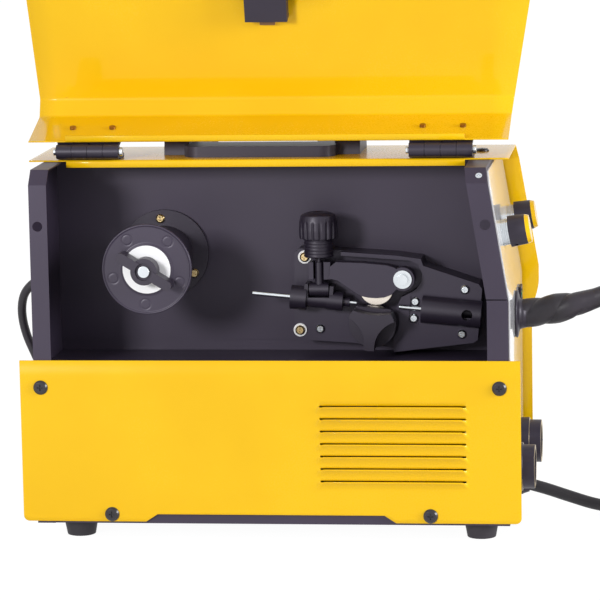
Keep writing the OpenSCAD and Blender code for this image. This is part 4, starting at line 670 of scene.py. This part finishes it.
nose_rows = [212, 206, 200, 196, 192, 187, 183, 178, 174]
flank_z = np.array([280, 250, 227] + nose_rows, float)
bevel_mm, hem_z, hem_y, gap = 12.5, 315.5, -28.7, 1.0
bevel_y, bevel_z = side_y - bevel_mm, top_z - bevel_mm
rear_hinge_x, front_hinge_x, latch_x, latch_z = -183, 165, (-22, 5), (183, 227)
door_section = bent_line([[hem_y, hem_z], [hem_y, top_z], [-bevel_y, top_z], [-side_y, bevel_z],
                          [-side_y, seam_z + gap]], bend_mm)
flank = np.stack([np.full_like(flank_z, -side_y), flank_z], -1)
door = sheet_points(np.vstack([door_section[:-1], flank, door_section[-1:]]),
                    [-220, -200, rear_hinge_x, -120, -60, *latch_x, 60, 110, front_hinge_x, 185, 220])
x, y, z = face_middles(door)
rim = (y > hem_y - 0.5) & ((x < rear_hinge_x) | (x > front_hinge_x))
latch_hole = (y < 1 - side_y) & (x > latch_x[0]) & (x < latch_x[1]) & (z > latch_z[0]) & (z < latch_z[1])
door_faces = quads(*door.shape[:2], keep=~(rim | latch_hole))[:, ::-1]
door_sheet = make_piece("side_door_sheet", opened(door), door_faces, yellow, "door", ["side_door"],
                        outward=False)
thicken(door_sheet)
sharpen(door_sheet, 40)
print("door:", len(door_sheet.data.polygons), "faces")

# %% [markdown]
# ### Outer cover
# One sheet makes the fixed half of the top, the bevel and the far side. It is the door's section
# mirrored and carried down to the floor edge, with the same louvers pressed the other way.

# %% Outer cover
seam_y = -26.6
cover_section = bent_line([[seam_y, hem_z], [seam_y, top_z], [bevel_y, top_z], [side_y, bevel_z],
                           [side_y, low_z]], bend_mm)
far_rows = grid_lines(skirt_rows, louver_rows(), [124, 140, seam_z, 230, 280], nose_rows)[::-1]
cover_section = np.vstack([cover_section[:-1], np.stack([np.full_like(far_rows, side_y), far_rows], -1)])
cover_x = grid_lines([-212, rear_hinge_x, -160, -50, 0, front_hinge_x, 190, 198], cut_x, louver_columns())
cover = sheet_points(cover_section, np.concatenate([[-220], cover_x, [220]]))
stay = press_louvers(cover, 1.0)
x, y, z = face_middles(cover)
rim = (y < seam_y + 0.5) & ((x < rear_hinge_x) | (x > front_hinge_x))
cover_faces = quads(*cover.shape[:2], keep=stay & ~rim)
far_cover = make_piece("outer_cover_sheet", skirt(cover), cover_faces, yellow, "cabinet", ["outer_cover"],
                       outward=False)
thicken(far_cover)
sharpen(far_cover, 32)
print("cover:", len(far_cover.data.polygons), "faces")

# %% [markdown]
# ## Softened edges
# Moulded and machined parts never end in a knife edge. A copy of the drawing's own part is merged to
# clean faces and gets a narrow Bevel, so its edges catch a thin line of light. The edges could also be
# rounded in the drawing, but a Bevel is quicker to judge.

# %% Rounded copies
def rounded(node, finish, width, body, second=(), angle=30.0, segments=2):
    """Copy of a node: doubles merged, flat triangles joined, edges sharper than angle rounded over.
    second is a list of (test, finish), where the test takes face centres in millimetres."""
    shape = bmesh.new()
    shape.from_mesh(nodes[node].data)
    bmesh.ops.remove_doubles(shape, verts=shape.verts, dist=2e-6)
    bmesh.ops.dissolve_limit(shape, angle_limit=math.radians(1.0), verts=shape.verts, edges=shape.edges)
    mesh = bpy.data.meshes.new(node + "_rounded")
    shape.to_mesh(mesh)
    shape.free()
    mesh.materials.clear()
    mesh.materials.append(finish.material)
    centre = np.empty(len(mesh.polygons) * 3)
    mesh.polygons.foreach_get("center", centre)
    centre = centre.reshape(-1, 3) / MM
    choice = np.zeros(len(mesh.polygons), int)
    for number, (test, other) in enumerate(second, 1):
        mesh.materials.append(other.material)
        choice[test(centre)] = number
    mesh.polygons.foreach_set("material_index", choice)
    mesh.shade_smooth()
    obj = bpy.data.objects.new(mesh.name, mesh)
    bpy.context.scene.collection.objects.link(obj)
    sharpen(obj, angle)
    bevel = obj.modifiers.new("rounded", "BEVEL")
    bevel.width, bevel.segments, bevel.limit_method = width * MM, segments, "ANGLE"
    bevel.angle_limit = math.radians(angle)
    bevel.use_clamp_overlap = True
    bevel.harden_normals = True
    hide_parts(node)
    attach(obj, body)
    return obj


body_of = {node: body for body, members in frame["record"]["behaviour"]["bodies"].items() for node in members}
print("bodies with parts:", len(set(body_of.values())))

# %% [markdown]
# ### Parts of two materials
# A knob has a coloured cap, a socket a brass contact, a transformer a copper winding. The drawing
# has each as one part, so a small test on the place of a face says which material it takes. The
# tests measure from the part's own axis, so they could as well be selections made by hand.

# %% Tests on the place of a face
front_lean = math.radians(9.2)
lean = np.array([math.cos(front_lean), 0.0, math.sin(front_lean)])
knob_foot, cap_from = np.array([197.85, 0.0, 260.5]), 20.8
hub_x, hub_z, wall_y, hub_reach, stud_from, stud_r = -106, 233, 28, 104, 104.5, 5.3
socket_y, socket_z, contact_r = 58, 59, 10.1
window_x, window_z, winding_y, winding_half = (74.1, 121.9), (24.6, 64.4), -52, 22


def knob_cap(centre):
    """The yellow cap at the outer end of a front knob."""
    return (centre - knob_foot) @ lean > cap_from


def stud_end(centre):
    """The bare threaded end in the middle of the spool hub."""
    near_axis = np.hypot(centre[:, 0] - hub_x, centre[:, 2] - hub_z) < stud_r
    return (centre[:, 1] < wall_y - stud_from) & near_axis


def contact(centre):
    """Brass inside the sockets: everything near their axes."""
    return np.hypot(np.abs(centre[:, 1]) - socket_y, centre[:, 2] - socket_z) < contact_r


def rivet(centre):
    """Rivet heads of the door's hinge leaves: what lies inside the door's sheet when it is closed."""
    y, z = centre[:, 1] - hinge_y, centre[:, 2] - hinge_z
    closed_y = hinge_y + y * math.cos(door_angle) + z * math.sin(door_angle)
    closed_z = hinge_z - y * math.sin(door_angle) + z * math.cos(door_angle)
    return (closed_z < 320.9) & (closed_y < -34)


def winding(centre):
    """The coil in the transformer's window: inside the window, and not on the core's own faces."""
    inside = (centre[:, 0] > window_x[0]) & (centre[:, 0] < window_x[1])
    inside &= (centre[:, 2] > window_z[0]) & (centre[:, 2] < window_z[1])
    return inside & (np.abs(np.abs(centre[:, 1] - winding_y) - winding_half) > 0.1)


second_finish = {"wire_speed_knob": [(knob_cap, yellow)], "voltage_knob": [(knob_cap, yellow)],
                 "hub_base": [(stud_end, zinc)], "output_sockets": [(contact, brass)],
                 "door_hinge_leaves": [(rivet, bronze)], "transformer": [(winding, copper)]}
print("parts of two materials:", len(second_finish))

# %% Finish and edge radius of each softened part
edges = {
    "carry_handle": (moulded, 1.6), "fixed_hinge_leaves": (moulded, 0.5), "door_hinge_leaves": (moulded, 0.5),
    "hinge_pins": (zinc, 0.3), "black_screws": (black_zinc, 0.3), "latch_housing": (moulded, 0.8),
    "latch_slider": (brown, 0.3), "hub_base": (moulded, 0.4), "hub_barrel": (moulded, 0.5),
    "hub_washer": (white_moulded, 0.3), "hub_wing_knob": (moulded, 0.7), "feeder_housing": (housing, 0.8),
    "insulating_washers": (white_moulded, 0.25), "brass_screws": (brass, 0.2), "steel_screws": (zinc, 0.2),
    "gun_clamp": (moulded, 0.5), "wire_guide": (moulded, 0.4), "guide_tubes": (zinc, 0.15),
    "pressure_arm": (housing, 0.9), "pressure_roller": (ground_steel, 0.4), "tension_stud": (moulded, 0.3),
    "drive_roll": (ground_steel, 0.3), "drive_roll_knob": (moulded, 1.0), "knob_collars": (zinc, 0.15),
    "wire_speed_knob": (moulded, 0.5), "voltage_knob": (moulded, 0.5), "power_switch": (green, 0.6),
    "switch_bezel": (moulded, 0.5), "output_sockets": (moulded, 0.7), "cable_glands": (moulded, 0.5),
    "gas_inlet": (brass, 0.3), "rubber_feet": (rubber, 0.8), "mains_plug": (moulded, 0.9),
    "earth_clamp": (brass, 0.6), "earth_clamp_jaw": (brass, 0.6), "torch": (moulded, 0.9),
    "torch_trigger": (moulded, 0.5), "front_panel": (white_gloss, 0.3), "transformer": (core_steel, 0.8),
}
softened = {node: rounded(node, finish, width, body_of[node], second_finish.get(node, ()))
            for node, (finish, width) in edges.items()}
print("softened", len(softened), "parts")

# %% [markdown]
# ## Tension knob
# The knob that sets the roller's pressure has a ribbed cap over a ringed sleeve. Its ribs give the
# fingers a hold and end below a smooth shoulder. A lathe gives the round form, and the grooves are
# taken off the radius: narrow valleys of a bell curve round the cap, deep at its rim, gone at the top.

# %% Tension knob
rib_count, rib_mm, ring_pitch, ring_mm, sleeve_r = 16, 1.3, 2.92, 0.35, 12.75
sleeve_z = np.linspace(1.0, 15.6, 60)
sleeve_dip = (0.5 + 0.5 * np.cos(2 * np.pi * sleeve_z / ring_pitch)) ** 4
sleeve_rows = np.stack([sleeve_r - ring_mm * sleeve_dip, sleeve_z], -1)
cap_rows = bent_line([[13.0, 16.4], [16.7, 16.4], [17.0, 24.0], [16.6, 31.5], [15.0, 37.0], [9.0, 39.3],
                      [4.6, 39.3], [3.8, 38.7], [0.4, 38.7]], 0.9, 5)
profile = np.vstack([[[2.2, 0.0], [12.1, 0.0], [12.6, 0.5]], sleeve_rows, cap_rows])
knob = lathe(profile, rib_count * 22)
x, y, z = np.moveaxis(knob, -1, 0)
radius = np.hypot(x, y)
half_count = rib_count / 2
valley = np.exp(-(np.cos(half_count * np.arctan2(y, x)) / half_count * radius) ** 2)
grip = smoothstep((z - 16.3) / 0.3) * (1.0 - smoothstep((z - 27.5) / 6.0)) * (radius > 14.5)
knob[..., :2] *= (1.0 - rib_mm * valley * grip / radius)[..., None]
knob_place = framed(knob, (35.08, -8, 234.4), (1, 0, 0), (0, 1, 0), (0, 0, 1))
knob_piece = make_piece("tension_knob_ribbed", knob_place, closed_rings(knob), moulded,
                        body_of["tension_knob"], ["tension_knob"])
print("tension knob:", len(knob_piece.data.polygons), "faces")

# %% [markdown]
# ## Front disc of the spool hub
# The disc is moulded with a raised rim, a flat seat for the washer and five faint round marks left by
# the pins that push it out of its mould. Its face is a grid of radius and turn whose height is lowered
# along each mark's circle, which keeps the marks true relief that a light from the side picks out.

# %% Hub disc
mark_count, mark_at, mark_r, mark_mm, mark_wide, face_z = 5, 30.3, 4.4, 0.3, 0.5, -0.7
face_rows = np.arange(36.8, 23.2, -0.4)
edge_rows = [[10.2, -4], [38.4, -4], [39, -3.4], [39, -0.6], [38.8, -0.2], [38.4, 0], [37.7, 0],
             [37.2, -0.5]]
seat_rows = [[22.6, face_z], [22.0, -0.05], [10.2, -0.05], [10.2, -4]]
flat_rows = np.stack([face_rows, np.full_like(face_rows, face_z)], -1)
disc = lathe(np.vstack([edge_rows, flat_rows, seat_rows]), 360)
mark_turn = np.radians(52.0 + 71.5 * np.arange(mark_count))
mark_x, mark_y = mark_at * np.cos(mark_turn), mark_at * np.sin(mark_turn)
away = np.hypot(disc[..., :1] - mark_x, disc[..., 1:2] - mark_y).min(-1)
on_face = np.abs(disc[..., 2] - face_z) < 0.05
disc[..., 2] -= mark_mm * np.exp(-((away - mark_r) / mark_wide) ** 2) * on_face
disc_place = framed(disc, (hub_x, wall_y - hub_reach, hub_z), (1, 0, 0), (0, 0, 1), (0, -1, 0))
make_piece("hub_disc_face", disc_place, quads(*disc.shape[:2], wrap=True), housing, body_of["hub_front_disc"],
           ["hub_front_disc"])
print("hub disc:", disc.shape[0] * disc.shape[1], "points")

# %% [markdown]
# ## Parts that keep the drawing's own shape
# The inner sheets, the board, the fan and the motor are already right as drawn. A new copy would add
# nothing to them, so they only take their finish.

# %% Finishes of the remaining nodes
kept = {"base_tray": black_sheet, "rear_panel": black_sheet, "front_frame": black_sheet,
        "compartment_tray": black_sheet, "feed_motor": zinc, "inverter_board": board_resin,
        "heat_sink": aluminium, "fan_frame": moulded, "fan_rotor": moulded}
for node, finish in kept.items():
    mesh = nodes[node].data
    mesh.materials.clear()
    mesh.materials.append(finish.material)
print("finished", len(kept), "nodes as drawn")

# %% [markdown]
# ## Light and ground
# A catalogue light: a bright room all round, one lamp left of the camera, which throws the hub's
# shadow on the wall behind it, and one that faces the machine's front panel. The ground is a pale
# sheet that the camera sees as white and that still takes the machine's shadow. Mirror and glass
# rays see the same white, so polished parts show the room.

# %% Ground
far, pale, glow_share, glow_strength = 30, 0.62, 0.8, 1.2
ground_mesh = bpy.data.meshes.new("ground")
ground_mesh.from_pydata([(-far, -far, 0), (far, -far, 0), (far, far, 0), (-far, far, 0)], [], [(0, 1, 2, 3)])
ground = bpy.data.objects.new("ground", ground_mesh)
bpy.context.scene.collection.objects.link(ground)
paper = Finish("ground", base_color=(pale, pale, pale, 1.0), roughness=0.6)
camera_ray = paper.node("ShaderNodeLightPath", out="Is Camera Ray")
glossy_ray = paper.node("ShaderNodeLightPath", out="Is Glossy Ray")
seen = camera_ray + glossy_ray + paper.node("ShaderNodeLightPath", out="Is Transmission Ray")
glow = paper.node("ShaderNodeEmission", {}, {"Color": (1.0, 1.0, 1.0, 1.0), "Strength": glow_strength})
matt = Wire(paper, paper.shader.outputs[0])
blend = paper.node("ShaderNodeMixShader", {}, {0: glow_share * seen, 1: matt, 2: glow})
paper.tree.links.new(blend.socket, paper.tree.nodes["Material Output"].inputs["Surface"])
ground_mesh.materials.append(paper.material)
print("ground:", 2 * far, "m wide")

# %% Room light
world = bpy.data.worlds.new("room")
bpy.context.scene.world = world
world.use_nodes = True
room = world.node_tree
room.nodes.clear()
ray = room.nodes.new("ShaderNodeLightPath")
soft, white = room.nodes.new("ShaderNodeBackground"), room.nodes.new("ShaderNodeBackground")
soft.inputs["Color"].default_value = (0.97, 0.98, 1.0, 1.0)
soft.inputs["Strength"].default_value = 0.4
white.inputs["Strength"].default_value = 1.0
white.inputs["Color"].default_value = (1.0, 1.0, 1.0, 1.0)
two_rays, three_rays = room.nodes.new("ShaderNodeMath"), room.nodes.new("ShaderNodeMath")
either, out = room.nodes.new("ShaderNodeMixShader"), room.nodes.new("ShaderNodeOutputWorld")
links = [(ray.outputs["Is Camera Ray"], two_rays.inputs[0]),
         (ray.outputs["Is Glossy Ray"], two_rays.inputs[1]),
         (ray.outputs["Is Transmission Ray"], three_rays.inputs[1]),
         (two_rays.outputs[0], three_rays.inputs[0]), (three_rays.outputs[0], either.inputs[0]),
         (soft.outputs[0], either.inputs[1]), (white.outputs[0], either.inputs[2]),
         (either.outputs[0], out.inputs[0])]
for source, target in links:
    room.links.new(source, target)
print("room light: strength %.2f" % soft.inputs["Strength"].default_value)

# %% Lamps
def soft_lamp(name, place, target, size, watts):
    """A square area lamp at place, turned so that its light falls on target."""
    data = bpy.data.lights.new(name, "AREA")
    data.shape, data.size, data.energy = "SQUARE", size, watts
    lamp = bpy.data.objects.new(name, data)
    bpy.context.scene.collection.objects.link(lamp)
    back = np.subtract(place, target)
    back = back / np.linalg.norm(back)
    across = np.cross((0.0, 0.0, 1.0), back)
    across /= np.linalg.norm(across)
    turned = np.eye(4)
    turned[:3, 0], turned[:3, 1], turned[:3, 2], turned[:3, 3] = across, np.cross(back, across), back, place
    lamp.matrix_world = Matrix(turned.tolist())
    print("%s: %.0f W" % (name, watts))


soft_lamp("key_lamp", (-1.2, -2.5, 0.9), (0.0, 0.0, 0.24), 0.5, 46.0)
soft_lamp("front_lamp", (2.5, -0.75, 0.85), (0.1, 0.0, 0.2), 0.9, 54.0)
bpy.context.scene.view_settings.view_transform = "Standard"
